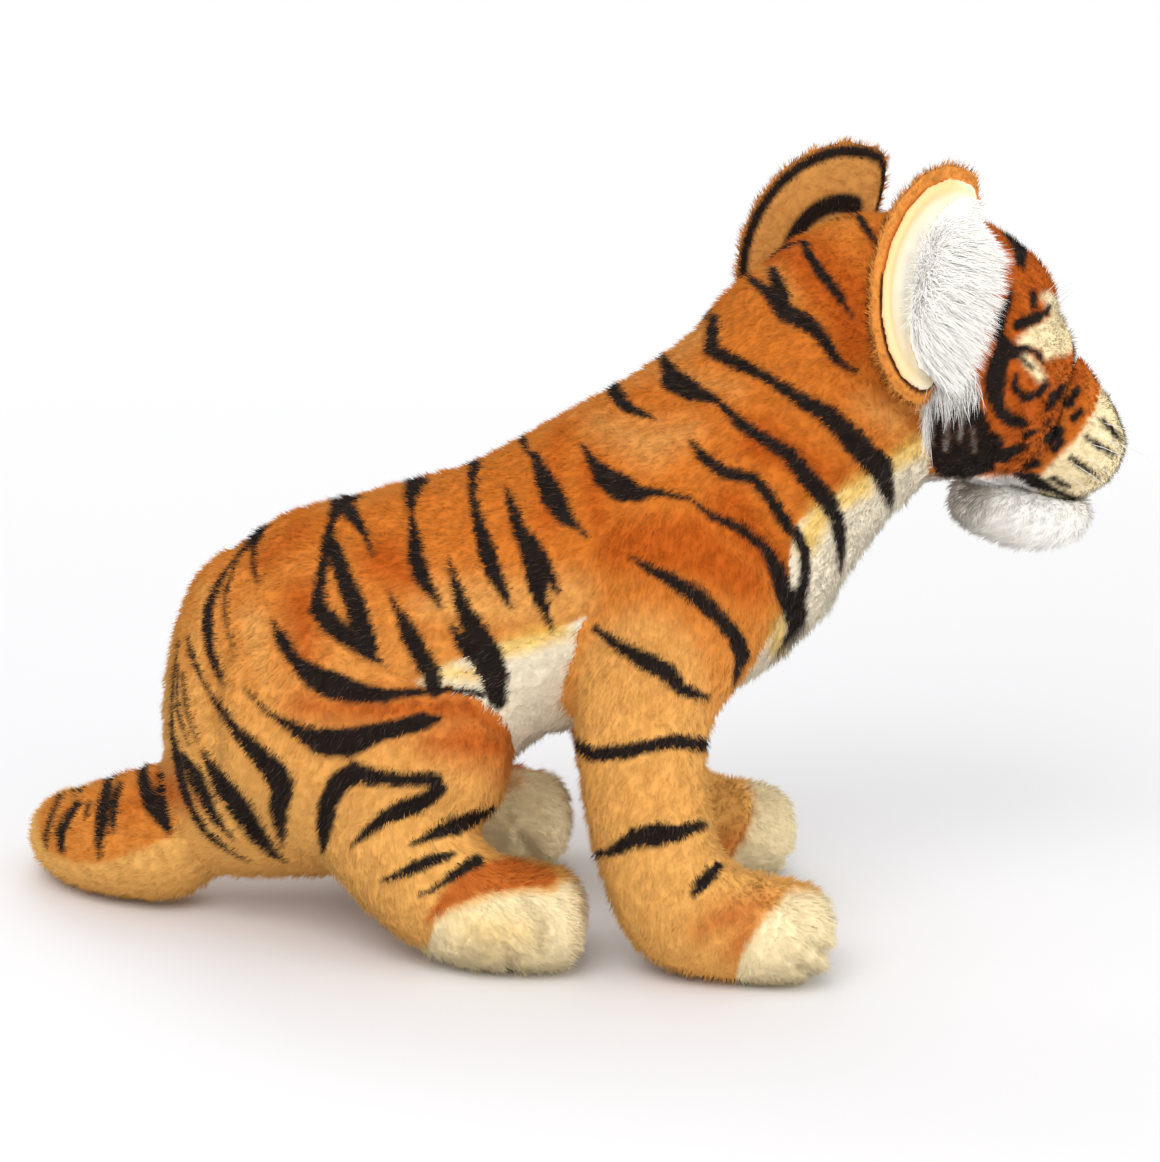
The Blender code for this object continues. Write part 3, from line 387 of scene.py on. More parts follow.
head_stripes = [
    [(981, 209, 7), (1004, 223, 9), (1014, 236, 12), (1021, 249, 12), (1021, 262, 9), (1024, 268, 3)],
    [(1036, 246, 4), (1042, 260, 4)],
    [(1012, 289, 3), (1007, 304, 7), (1000, 320, 11), (999, 334, 9), (1004, 346, 15), (1014, 352, 13)],
    [(1006, 350, 14), (998, 364, 17), (995, 382, 18), (995, 398, 15), (1001, 412, 11), (1010, 420, 9)],
    [(1014, 352, 12), (1026, 349, 7), (1037, 353, 6), (1043, 362, 4)],
    [(1021, 358, 5), (1031, 367, 4)],
    [(1019, 325, 11), (1034, 318, 11), (1047, 312, 6), (1050, 306, 4)],
    [(1033, 293, 7), (1034, 304, 7)],
    [(1016, 376, 5), (1014, 386, 7), (1024, 398, 8), (1038, 394, 8), (1046, 385, 7)],
    [(1046, 425, 5), (1050, 420, 3)],
    [(950, 396, 16), (968, 404, 22), (962, 428, 44), (956, 448, 44), (986, 456, 20), (1009, 451, 7),
     (1024, 443, 3)],
    [(938, 400, 8), (934, 430, 14), (936, 458, 14), (944, 468, 16), (966, 470, 16), (990, 466, 10)],
    [(1046, 411, 4), (1055, 397, 11), (1064, 386, 6)],
    [(1069, 404, 10), (1077, 390, 7)],
    [(1074, 418, 8), (1081, 411, 6)],
    [(1006, 418, 11), (1014, 421, 13), (1023, 424, 9)],
    [(1025, 435, 7), (1036, 431, 5)],
    [(1050, 439, 12), (1058, 432, 12), (1061, 442, 7), (1054, 450, 7)],
    [(1027, 467, 7), (1037, 463, 7)],
    [(980, 436, 14), (996, 442, 13)],
    [(1004, 457, 12), (1020, 450, 5), (1030, 444, 3)],
]
muzzle_dashes = [
    [(1102, 420, 5), (1111, 429, 6), (1121, 440, 3)],
    [(1087, 438, 5), (1100, 447, 6), (1115, 455, 3)],
    [(1071, 458, 5), (1084, 468, 6), (1098, 477, 3)],
    [(1052, 479, 5), (1062, 484, 6), (1070, 487, 3)],
    [(1016, 474, 5), (1032, 480, 13), (1048, 488, 8), (1074, 499, 4)],
]

# %% Wider and softer airbrushed clouds of colour, and a painted highlight along the back
tan_clouds_and_highlight = [
    [(430, 600, 40), (500, 605, 50), (570, 600, 50)],
    [(195, 590, 20), (196, 700, 30), (235, 780, 40), (300, 830, 50), (380, 870, 60), (430, 900, 50)],
    [(252, 620, 30), (264, 690, 20)],
    [(600, 425, 24), (650, 445, 40), (690, 430, 20)],
    [(700, 330, 20), (660, 370, 14), (735, 390, 10)],
    [(895, 420, 30), (865, 405, 16)],
    [(640, 680, 120), (650, 780, 140), (670, 900, 150), (720, 950, 90)],
    # Painted highlight: a thin paler line along the top of the back, as light on the fur tips.
    [(330, 500, 10), (470, 452, 10), (570, 405, 10), (660, 358, 10)],
    [(790, 300, 10), (760, 250, 16)],
]
rust_clouds = [
    [(262, 560, 24), (300, 530, 24)],
    [(385, 560, 50), (420, 590, 20)],
    [(300, 600, 40), (305, 655, 26)],
    [(300, 706, 22), (380, 710, 34), (470, 708, 34), (510, 740, 30), (505, 775, 16)],
    [(430, 742, 20), (470, 740, 44), (502, 748, 34)],
    [(700, 930, 10), (728, 918, 24), (764, 902, 8)],
    [(748, 922, 16), (738, 950, 18)],
    [(620, 545, 50), (690, 545, 60), (750, 585, 40)],
    [(760, 440, 50), (830, 475, 30)],
    [(730, 510, 50), (770, 560, 40)],
    [(800, 250, 50), (850, 300, 60), (850, 350, 40)],
    [(590, 470, 30), (598, 520, 30)],
    [(560, 430, 20), (545, 520, 30)],
    [(120, 810, 30), (160, 790, 40), (185, 800, 20)],
]
head_rust = [
    [(900, 250, 60), (1000, 250, 60), (1030, 270, 50), (1075, 370, 40), (1080, 420, 20), (1040, 450, 30)],
    [(1000, 300, 60), (1020, 400, 90), (1010, 450, 60)],
]
# The creases between the toes: the paws are pressed in along them, and darkened there with painted shade over
# thin airbrushed toe lines.
toe_creases = [
    [(810, 942, 5), (822, 951, 8), (836, 956, 6)],
    [(797, 966, 4), (812, 975, 7), (826, 984, 5)],
    [(524, 894, 5), (535, 912, 10), (541, 930, 10), (540, 950, 7)],
    [(504, 944, 4), (508, 958, 7), (509, 974, 6)],
]
paw_rust = [[(428, 921, 6), (450, 899, 17), (474, 880, 25), (512, 873, 28), (546, 876, 18)]]
paw_yellow = [[(465, 928, 20), (490, 935, 30), (520, 935, 26)]]
cheek_grey = [
    [(944, 402, 4), (947, 425, 5), (945, 450, 4)], [(958, 396, 4), (962, 418, 5), (960, 440, 4)],
    [(934, 395, 6), (931, 420, 5), (932, 445, 3)], [(972, 430, 3), (975, 450, 3)],
]
yellow_clouds = [
    [(894, 462, 16), (920, 446, 20)],
    [(843, 500, 16), (862, 486, 20)],
    [(806, 545, 18), (820, 514, 20)],
    [(782, 625, 12), (776, 650, 12)],
    [(497, 652, 14), (530, 640, 18), (562, 632, 12)],
    [(430, 678, 10), (452, 672, 12), (474, 676, 8)],
]
brow_cream = [
    [(1022, 343, 8), (1038, 337, 20), (1054, 334, 28), (1060, 340, 26)],
    [(1048, 352, 12), (1056, 330, 24), (1060, 320, 16)],
    [(1024, 356, 7), (1034, 367, 10), (1041, 378, 8)],
    [(1047, 297, 9), (1055, 305, 13), (1059, 316, 12)],
    [(924, 372, 12), (928, 396, 16), (926, 430, 12)],
]
belly_seam = [
    (300, 760), (407, 687), (441, 668), (495, 645), (552, 633), (588, 616), (650, 640), (723, 696),
    (751, 660), (784, 599), (795, 527), (815, 509), (840, 494), (871, 476), (894, 458), (927, 436),
    (1100, 330),
]
muzzle_edge = [(1040, 477), (1048, 467), (1061, 454), (1077, 438), (1093, 414), (1100, 393), (1106, 372)]
tail_edge = [(20, 836), (45, 852), (75, 864), (110, 862), (150, 846), (190, 828), (215, 812)]
under_lines = [
    ([(896, 512), (908, 492), (922, 478), (932, 472), (960, 474), (1000, 486), (1040, 496)], 0.075),
    ([(425, 735), (440, 733), (520, 729), (560, 725), (590, 716)], 0.052),
]
front_paw_edge = [(734, 990), (739, 962), (745, 950), (756, 932), (766, 917), (778, 906), (790, 890)]
hind_paw_edge = [(427, 950), (435, 921), (453, 910), (493, 896), (535, 891), (552, 894), (566, 880)]

# %% Look strokes and edges up
STRIPE_SPREAD = 1.25


def ramp(values, width):
    """0 below 0, 1 from the width on, and even between the two."""
    return np.clip(values / width, 0, 1)


def stroke_mask(places, strokes, softness):
    """From 0 to 1, how much of each place lies under any of the strokes."""
    found = np.zeros(len(places))
    for stroke in strokes:
        points = np.array(stroke, float)
        reach = points[:, 2].max() / 2 + 2 * softness
        low, high = points[:, :2].min(0) - reach, points[:, :2].max(0) + reach
        near = np.flatnonzero(((places > low) & (places < high)).all(1))
        if not len(near):
            continue
        at, best = places[near], np.full(len(near), -np.inf)
        for start, end in zip(points, points[1:]):
            way = end[:2] - start[:2]
            share = np.clip((at - start[:2]) @ way / max(way @ way, 1e-9), 0, 1)
            away = np.linalg.norm(at - start[:2] - share[:, None] * way, axis=1)
            half = STRIPE_SPREAD * (start[2] + (end[2] - start[2]) * share) / 2
            best = np.maximum(best, half - away)
        found[near] = np.maximum(found[near], np.clip(0.5 + best / softness, 0, 1))
    return found


def beyond_edge(places, edge, softness):
    """From 0 to 1, how far each place lies right of and under an edge that climbs to the right."""
    points = np.array(edge, float)
    rising = points[np.argsort(points[:, 0])]
    below = places[:, 1] - np.interp(places[:, 0], rising[:, 0], rising[:, 1])
    return np.clip(0.5 + below / softness, 0, 1)


joints = {joint["name"]: joint for joint in frame["joints"]}
print("joints:", ", ".join(joints))

# %% [markdown]
# ## One skin over the stuffed solids
#
# Sewn plush has no hard joints between its limbs and its body: the stuffing pushes the fur
# cloth out into one rounded skin with soft creases. So the covers and their fillings are
# copied together, and a voxel remesh melts them into a single closed surface. A short cloth
# simulation with air pressure inside rounds it, as stuffing does, and a cap keeps each point
# near the frame. A thick rod inside the shoulders and a ball in the neck fill the notches
# where the front legs and the head are let into the body.

# %% Which cover makes which piece
SIDES = ("left", "right")
covers = {
    "torso_cover": ("torso_filling", "fur_orange", "neck"),
    "belly_panel": (None, "fur_white", "neck"),
    "head_cover": ("head_filling", "fur_orange", "neck"),
    "muzzle_cover": ("muzzle_filling", "fur_cream", "head"),
    "tail_top_panel": ("tail_filling", "fur_orange", "tail"),
    "tail_under_panel": (None, "fur_tan", "tail"),
}
for side in SIDES:
    leg = f"front_leg_{side}"
    covers[f"haunch_cover_{side}"] = (f"haunch_filling_{side}", "fur_orange", "torso")
    covers[f"hind_leg_cover_{side}"] = (f"hind_leg_filling_{side}", "fur_tan", "torso")
    covers[f"hind_paw_cover_{side}"] = (None, "fur_cream", "torso")
    covers[f"front_leg_cover_{side}"] = (f"front_leg_filling_{side}", "fur_tan", leg)
    covers[f"front_paw_cover_{side}"] = (None, "fur_cream", leg)
cover_names = list(covers)
print(len(covers), "fur covers")

# %% Join the solids and melt them into one surface
NECK = Vector((0.107, 0.0, 0.256))
NECK_RADIUS = 0.0625
SHOULDER_BACK, SHOULDER_FRONT = Vector((-0.04, 0.0, 0.143)), Vector((0.085, 0.0, 0.215))
SHOULDER_DEPTH, SHOULDER_WIDTH = 0.067, 0.0655
SKIN_STEP = 0.004
SMOOTH_ROUNDS = 6


def merged_copy(name, nodes):
    """One object with loose copies of CAD meshes, their doubled corners merged."""
    shape = bmesh.new()
    for node in nodes:
        shape.from_mesh(frame["nodes"][node].data)
    bmesh.ops.remove_doubles(shape, verts=shape.verts, dist=1e-6)
    mesh = bpy.data.meshes.new(name)
    shape.to_mesh(mesh)
    shape.free()
    return add_object(name, mesh)


def modify(piece, kind, **settings):
    """Adds a modifier to a piece and applies it at once."""
    deselect_all()
    piece.select_set(True)
    bpy.context.view_layer.objects.active = piece
    modifier = piece.modifiers.new(kind.lower(), kind)
    for setting, value in settings.items():
        setattr(modifier, setting, value)
    bpy.ops.object.modifier_apply(modifier=modifier.name)


def keep_largest(piece):
    """Deletes every loose part of a mesh but the one with the most corners."""
    mesh = piece.data
    edges = np.zeros(len(mesh.edges) * 2, np.int64)
    mesh.edges.foreach_get("vertices", edges)
    edges = edges.reshape(-1, 2)
    group = np.arange(len(mesh.vertices))
    while True:
        lowest = np.minimum(group[edges[:, 0]], group[edges[:, 1]])
        before = group.copy()
        np.minimum.at(group, edges[:, 0], lowest)
        np.minimum.at(group, edges[:, 1], lowest)
        group = group[group]
        if (group == before).all():
            break
    names, counts = np.unique(group, return_counts=True)
    if len(names) == 1:
        return
    shape = bmesh.new()
    shape.from_mesh(mesh)
    shape.verts.ensure_lookup_table()
    loose = [shape.verts[i] for i in np.flatnonzero(group != names[counts.argmax()])]
    bmesh.ops.delete(shape, geom=loose, context="VERTS")
    shape.to_mesh(mesh)
    shape.free()


def melted(piece, step, rounds):
    """Turns joined solids into one closed, smoothed surface of small even faces."""
    modify(piece, "REMESH", mode="VOXEL", voxel_size=step)
    keep_largest(piece)
    modify(piece, "SMOOTH", factor=0.5, iterations=rounds)
    return piece


def add_shoulder_filler():
    deselect_all()
    way = SHOULDER_FRONT - SHOULDER_BACK
    bpy.ops.mesh.primitive_cylinder_add(vertices=48, radius=1.0, depth=1.0)
    filler = bpy.context.object
    across = Vector((0, 1, 0))
    rise = way.normalized().cross(across)
    columns = (across * SHOULDER_WIDTH, rise * SHOULDER_DEPTH, way)
    shaped = Matrix([[column[row] for column in columns] for row in range(3)]).to_4x4()
    filler.data.transform(Matrix.Translation((SHOULDER_BACK + SHOULDER_FRONT) / 2) @ shaped)
    return filler


def add_neck_filler():
    deselect_all()
    bpy.ops.mesh.primitive_uv_sphere_add(
        segments=48, ring_count=24, radius=NECK_RADIUS, location=NECK
    )
    filler = bpy.context.object
    filler.data.transform(filler.matrix_world)
    filler.matrix_world = Matrix.Identity(4)
    return filler


joined_nodes = cover_names + [filling for filling, _, _ in covers.values() if filling]
coat = merged_copy("coat", joined_nodes)
fillers = [add_shoulder_filler(), add_neck_filler()]
deselect_all()
for part in (*fillers, coat):
    part.select_set(True)
bpy.context.view_layer.objects.active = coat
bpy.ops.object.join()
melted(coat, SKIN_STEP, SMOOTH_ROUNDS)
print("coat:", len(coat.data.vertices), "corners")

# %% Stuff it, then refine it
PRESSURE = 4.0
STUFFING_FRAMES = 12
STUFFING_CAP = 0.003
SOLE_BAND = 0.004


def corner_places(mesh):
    places = np.zeros(len(mesh.vertices) * 3)
    mesh.vertices.foreach_get("co", places)
    return places.reshape(-1, 3)


def corner_normals(mesh):
    normals = np.zeros(len(mesh.vertices) * 3)
    mesh.vertices.foreach_get("normal", normals)
    return normals.reshape(-1, 3)


def set_corners(mesh, places):
    mesh.vertices.foreach_set("co", places.ravel())
    mesh.update()


def stuff(piece):
    """Blows the piece up a little with cloth pressure, and caps how far each corner moves."""
    start = corner_places(piece.data)
    cloth = piece.modifiers.new("stuffing", "CLOTH")
    cloth.settings.use_pressure = True
    cloth.settings.uniform_pressure_force = PRESSURE
    cloth.settings.quality = 4
    cloth.settings.effector_weights.gravity = 0
    cloth.collision_settings.use_collision = False
    for number in range(1, STUFFING_FRAMES + 1):
        bpy.context.scene.frame_set(number)
    deselect_all()
    bpy.context.view_layer.objects.active = piece
    bpy.ops.object.modifier_apply(modifier=cloth.name)
    moved = corner_places(piece.data) - start
    length = np.linalg.norm(moved, axis=1, keepdims=True)
    moved *= np.minimum(1, STUFFING_CAP / np.maximum(length, 1e-9))
    moved *= np.clip(start[:, 2:] / SOLE_BAND - 1, 0, 1)
    set_corners(piece.data, start + moved)
    print("stuffing moved", piece.name, "by", round(length.mean() * 1000, 1), "mm on average")


HEAD_TURN = math.radians(16.0)
EYES = {side: sum(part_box(f"eye_{side}"), Vector()) / 2 for side in SIDES}
UNDER_SOFT, UNDER_SIDE_SOFT = 14.0, 0.012
UNDER_REACH, UNDER_MOST, UNDER_HEAD = 60, 0.010, 800
face_forms = [
    ((0.209, 0.040, 0.290), -0.0048, 0.014), ((0.237, 0.0, 0.268), 0.0040, 0.011),
    ((0.258, 0.016, 0.236), 0.0016, 0.012),
]
LID_HEIGHT, LID_RING, LID_WIDTH = 0.0030, 0.0135, 0.0045
LID_WAY, LID_START = (-0.7, 0.6, 0.0), 0.35
TOE_CREASE_DEPTH = 0.0028
TOE_CREASE_SOFT = 12.0
PAW_TOP = 0.05


def eye_gap(places):
    """How far each place is from the middle of the nearer eye."""
    return np.minimum(*(np.linalg.norm(places - np.array(eye), axis=1) for eye in EYES.values()))


def press_toes(places, ways):
    """Pushes the paws in along the creases between the toes."""
    seen = np.stack([places[:, 0], -np.abs(places[:, 1]), places[:, 2]], 1)
    creased = stroke_mask(in_picture(seen), toe_creases, TOE_CREASE_SOFT) * (places[:, 2] < PAW_TOP)
    places -= ways * (TOE_CREASE_DEPTH * creased)[:, None]


def head_way(x, y, z, side):
    """A way in the head's own frame, with y to the outside, as a world way."""
    sign = -1 if side == "right" else 1
    cosine, sine = math.cos(HEAD_TURN), math.sin(HEAD_TURN)
    return np.array([cosine * x - sine * sign * y, sine * x + cosine * sign * y, z])


def turned_about_neck(places, angle):
    cosine, sine = math.cos(angle), math.sin(angle)
    x, y = places[:, 0] - NECK.x, places[:, 1] - NECK.y
    return np.stack([NECK.x + cosine * x - sine * y, NECK.y + sine * x + cosine * y, places[:, 2]], 1)


def raise_underside(places, _):
    """Raises the throat and the rear of the belly to where they show in the photograph."""
    shown = in_picture(places)
    for line, half_width in under_lines:
        points = np.array(line, float)
        below = shown[:, 1] - np.interp(shown[:, 0], points[:, 0], points[:, 1])
        within = ramp(shown[:, 0] - points[0, 0], UNDER_SOFT)
        within *= ramp(points[-1, 0] - shown[:, 0], UNDER_SOFT)
        level = turned_about_neck(places, -HEAD_TURN)[:, 1] if points[0, 0] > UNDER_HEAD else places[:, 1]
        within *= ramp(half_width - np.abs(level), UNDER_SIDE_SOFT)
        near = (below < UNDER_REACH) & (below > 0)
        places[:, 2] += np.minimum(below * METRES_PER_PIXEL * near * within, UNDER_MOST)


def model_face(places, ways):
    """Presses the brows in a little, and fills the bridge of the nose and the muzzle."""
    level = turned_about_neck(places, -HEAD_TURN)
    level[:, 1] = np.abs(level[:, 1])
    clear = ramp(eye_gap(places) - LID_RING, 2 * LID_WIDTH)
    for middle, rise, radius in face_forms:
        away = np.linalg.norm(level - np.array(middle), axis=1)
        places += ways * (rise * clear * np.exp(-((away / radius) ** 2)))[:, None]


def raise_lids(places, ways):
    """Raises the fur round the outer side of each eye, so that the eye lies in a socket."""
    for side in SIDES:
        away = places - np.array(EYES[side])
        distance = np.linalg.norm(away, axis=1)
        share = away @ head_way(*LID_WAY, side) / np.maximum(distance, 1e-6)
        outside = np.clip(LID_START + share, 0, 1)
        ring = np.exp(-(((distance - LID_RING) / LID_WIDTH) ** 2)) * outside
        places += ways * (LID_HEIGHT * ring)[:, None]


stuff(coat)
modify(coat, "SUBSURF", levels=1, render_levels=1)
for change in (press_toes, raise_lids, model_face, raise_underside):
    places = corner_places(coat.data)
    change(places, corner_normals(coat.data))
    set_corners(coat.data, places)
print("refined coat:", len(coat.data.polygons), "faces")

# %% [markdown]
# ## Cutting the skin back into panels
#
# A toy maker cuts the fur cloth into panels, and the frame has one solid for each. Every
# face of the skin goes to the cover that lies nearest to it, the border between two panels
# is evened out, and each panel becomes its own piece with a real thickness. Pieces that
# cross a joint stay fixed where they stand, and the others ride on one body each. The panels
# share their borders.

# %% Give each face to a cover
BORDER_ROUNDS = 10


def nearest_cover(places):
    """The number of the cover whose surface lies nearest to each place."""
    corners, triangles, owners = [], [], []
    for number, name in enumerate(cover_names):
        mesh = frame["nodes"][name].data
        mesh.calc_loop_triangles()
        base = len(corners)
        corners += [v.co.copy() for v in mesh.vertices]
        for triangle in mesh.loop_triangles:
            triangles.append([base + v for v in triangle.vertices])
            owners.append(number)
    tree = BVHTree.FromPolygons(corners, triangles)
    return np.array([owners[tree.find_nearest(Vector(p))[2]] for p in places])


def face_arrays(mesh):
    """The faces' corner numbers, four to a face, and their middles."""
    loops = np.zeros(len(mesh.loops), np.int64)
    mesh.loops.foreach_get("vertex_index", loops)
    faces = loops.reshape(-1, 4)
    return faces, corner_places(mesh)[faces].mean(1)


def even_borders(faces, owners, corner_count):
    """Each round, a face takes the owner that most faces round its corners have."""
    votes = np.eye(len(cover_names))[owners]
    for _ in range(BORDER_ROUNDS):
        at_corner = np.zeros((corner_count, len(cover_names)))
        for column in range(4):
            np.add.at(at_corner, faces[:, column], votes)
        votes = at_corner[faces].sum(1)
        votes /= votes.sum(1, keepdims=True)
    return votes.argmax(1)


faces, middles = face_arrays(coat.data)
owners = even_borders(faces, nearest_cover(middles), len(coat.data.vertices))
places, normals = corner_places(coat.data), corner_normals(coat.data)
for number, name in enumerate(cover_names):
    low = middles[owners == number].min(0)
    print(name, (owners == number).sum(), "faces, lowest at", round(low[2] * 1000), "mm")


def follow(piece, way):
    """Leaves a piece that crosses a joint fixed where it stands, or lets it ride on one body."""
    if way == "neck":
        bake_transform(piece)
    elif way == "tail":
        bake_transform(piece)
    elif way.startswith("front_leg"):
        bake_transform(piece)
    else:
        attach(piece, way)


# %% [markdown]
# ## The colours of the coat
#
# Every hair and every corner of the skin carries eight numbers in two attributes: how much
# of it is stripe, white, cream and tan, and its rust, its yellow, its height in the pile and
# a share of chance. One material turns these into a colour. Hairs are darker at the root,
# because little light gets down there.

# %% Work out the markings at any place
EDGE_SOFT, SEAM_SOFT, CLOUD_SOFT = 4.0, 14.0, 40.0
WAVER, WAVER_SIZE = 1.0, 0.004
TAN_SHARE, TAN_LEAST, LOW_TAN, TAN_START, TAN_FALL = 0.8, 0.12, 0.75, 0.19, 0.12
TAIL_RUST, TAIL_TAN = 0.6, 0.25
TOE_LINE_AND_SHADE, PAW_YELLOW = 0.2, 0.45
BELLY_BACK = 395
BELLY_WHITE, FACE_DARK, GREY_STRIPE, BROW_GAP = 0.45, 0.10, 0.80, 0.009
RUST_SHARE, RUST_START, RUST_RISE = 0.42, 0.10, 0.10
THROAT_FRONT = 1036
LID_REACH, LID_SOFT = 0.0135, 0.001
PAW_MIDDLE, PAW_SOFT, INNER_SHIFT = 0.092, 0.02, (-12, 34)
BELLY_MIDDLE, BELLY_SOFT = 0.034, 0.02
REAR_PLACE, REAR_SOFT, REAR_HALF, REAR_SHIFT, REAR_CALM = -0.145, 0.015, 0.036, 20, 0.8
head_names = ("head_cover", "muzzle_cover", "chin_cover")
trunk_names = ("torso_cover", "belly_panel")


def waves(places, size, seed, count=7):
    """Smooth noise between about -1 and 1, with bumps of the given size."""
    chance = np.random.default_rng(seed)
    ways = chance.normal(size=(count, 3))
    ways *= 2 * math.pi / size / np.linalg.norm(ways, axis=1, keepdims=True)
    shifts = chance.uniform(0, 2 * math.pi, count)
    return np.sin(places @ ways.T + shifts).sum(1) / math.sqrt(count)


def on_seen_side(places, on_head):
    """The mirror image of each place that lies on the side away from the camera."""
    seen = places.copy()
    if on_head:
        seen = turned_about_neck(seen, -HEAD_TURN)
    seen[:, 1] = -np.abs(seen[:, 1])
    return turned_about_neck(seen, HEAD_TURN) if on_head else seen


def no_marks(count):
    """Every kind of marking, as nothing, at a number of places."""
    return {kind: np.zeros(count) for kind in ("stripe", "white", "cream", "tan", "rust", "yellow")}


def at_least(found, kind, values):
    found[kind] = np.maximum(found[kind], values)


def mark_head(found, places, shown):
    """Marks the head, the muzzle and the throat."""
    strokes = neck_stripes + head_stripes + muzzle_dashes
    lids = ramp(LID_REACH - eye_gap(places), LID_SOFT)
    found["stripe"] = np.maximum(stroke_mask(shown, strokes, EDGE_SOFT), lids)
    below = beyond_edge(shown, muzzle_edge, 2 * EDGE_SOFT)
    ahead = ramp(shown[:, 0] - THROAT_FRONT, EDGE_SOFT)
    apart = np.abs(turned_about_neck(places, -HEAD_TURN)[:, 1])
    brow = stroke_mask(shown, brow_cream, 2 * EDGE_SOFT) * ramp(apart - BROW_GAP, BROW_GAP)
    grey = stroke_mask(shown, cheek_grey, EDGE_SOFT)
    found["white"] = np.maximum(below * (1 - ahead), grey)
    found["cream"] = np.maximum(below * ahead, brow)
    found["yellow"] = stroke_mask(shown, yellow_clouds, SEAM_SOFT)
    found["rust"] = stroke_mask(shown, rust_clouds + head_rust, CLOUD_SOFT)
    found["tan"] = np.maximum(stroke_mask(shown, tan_clouds_and_highlight, CLOUD_SOFT) * TAN_SHARE, TAN_LEAST)
    found["stripe"] = np.minimum(found["stripe"], 1 - (1 - GREY_STRIPE) * grey)
    face = stroke_mask(shown, head_rust[1:], CLOUD_SOFT) * (1 - found["cream"]) * (1 - found["white"])
    at_least(found, "stripe", FACE_DARK * face)


def mark_tail(found, shown):
    under = beyond_edge(shown, tail_edge, 2 * EDGE_SOFT)
    found["stripe"] = stroke_mask(shown, tail_stripes, EDGE_SOFT) * (1 - under)
    found["rust"] = TAIL_RUST * stroke_mask(shown, rust_clouds, CLOUD_SOFT) * (1 - under)
    found["tan"] = TAIL_TAN + (1 - TAIL_TAN) * under


def mark_body(found, places, shown, name):
    """Marks the trunk, the haunches and the legs."""
    strokes = neck_stripes + (leg_stripes if "front" in name else body_stripes + leg_stripes[:2])
    found["stripe"] = stroke_mask(shown, strokes, EDGE_SOFT)
    high = RUST_SHARE * ramp(places[:, 2] - RUST_START, RUST_RISE)
    found["rust"] = np.maximum(stroke_mask(shown, rust_clouds, CLOUD_SOFT), high)
    found["yellow"] = stroke_mask(shown, yellow_clouds, SEAM_SOFT)
    low = TAN_LEAST + LOW_TAN * ramp(TAN_START - places[:, 2], TAN_FALL)
    found["tan"] = np.maximum(stroke_mask(shown, tan_clouds_and_highlight, CLOUD_SOFT) * TAN_SHARE, low)
    if name in trunk_names:
        ahead = ramp(shown[:, 0] - BELLY_BACK, CLOUD_SOFT)
        found["cream"] = beyond_edge(shown, belly_seam, 1.5 * EDGE_SOFT) * ahead
        found["white"] = BELLY_WHITE * found["cream"]
        middle = ramp(BELLY_MIDDLE - np.abs(places[:, 1]), BELLY_SOFT)
        found["stripe"] = found["stripe"] * (1 - middle * found["cream"])
    if "paw" in name:
        # Painted shade along the toe creases, over thin airbrushed toe lines.
        at_least(found, "stripe", TOE_LINE_AND_SHADE * stroke_mask(shown, toe_creases, EDGE_SOFT))
    at_least(found, "rust", stroke_mask(shown, paw_rust, 2 * EDGE_SOFT))
    at_least(found, "yellow", PAW_YELLOW * stroke_mask(shown, paw_yellow, CLOUD_SOFT))
    inner = ramp(PAW_MIDDLE - places[:, 1], PAW_SOFT) * (places[:, 1] > 0)
    shown = shown + inner[:, None] * np.array(INNER_SHIFT)
    for end, edge in (("front", front_paw_edge), ("hind", hind_paw_edge)):
        if end in name:
            found["cream"] = beyond_edge(shown, edge, 3 * EDGE_SOFT)


def markings(places, name):
    """Stripe, white, cream, tan, rust and yellow from 0 to 1 at places on one cover."""
    on_head = name in head_names
    shown = in_picture(on_seen_side(places, on_head))
    rear = ramp(REAR_PLACE - places[:, 0], REAR_SOFT) * (not on_head)
    waver = WAVER * (1 - REAR_CALM * rear)
    noise = [waves(places, WAVER_SIZE, seed) for seed in (1, 2)]
    shown = shown + waver[:, None] * np.stack(noise, 1)
    if not name.startswith("tail"):
        shown[:, 0] -= REAR_SHIFT * rear * np.clip(1 - np.abs(places[:, 1]) / REAR_HALF, 0, 1)
    found = no_marks(len(places))
    if on_head:
        mark_head(found, places, shown)
    elif name.startswith("tail"):
        mark_tail(found, shown)
    else:
        mark_body(found, places, shown, name)
    if name == "chin_cover":
        found["white"] = np.ones(len(places))
    return found


def store_markings(mesh, found, height, chance):
    """Writes the eight numbers of each corner into the attributes coat and pile."""
    coat_parts = [found[key] for key in ("stripe", "white", "cream", "tan")]
    pile_parts = [found["rust"], found["yellow"], height, chance]
    for name, parts in (("coat", coat_parts), ("pile", pile_parts)):
        attribute = mesh.attributes.new(name, "FLOAT_COLOR", "POINT")
        attribute.data.foreach_set("color", np.stack(parts, 1).astype(np.float32).ravel())


# %% Mix the coat's colour
RUST, ORANGE, TAN = colour(198, 93, 18), colour(232, 137, 38), colour(255, 204, 118)
CREAM, WHITE, YELLOW = colour(255, 238, 192), colour(255, 252, 246), colour(255, 214, 110)
# The paler stripe colour paints the grey sheen on the black stripes, together with their brownish hair tips.
STRIPE, STRIPE_SHEEN_AND_TIPS = colour(36, 29, 26), colour(104, 92, 82)
ROOT_SHADE = (0.66, 0.45, 0.30, 1.0)
TAN_CHANCE, RUST_MOST, RUST_CHANCE, YELLOW_MOST = 0.7, 0.9, 0.3, 0.85
SHEEN_AND_TIP_START, SHEEN_AND_TIP_RISE = 0.72, 2.5
DEPTH_MOST, DEPTH_CHANCE, WHITE_LIT, CREAM_LIT = 0.5, 0.24, 0.95, 0.6


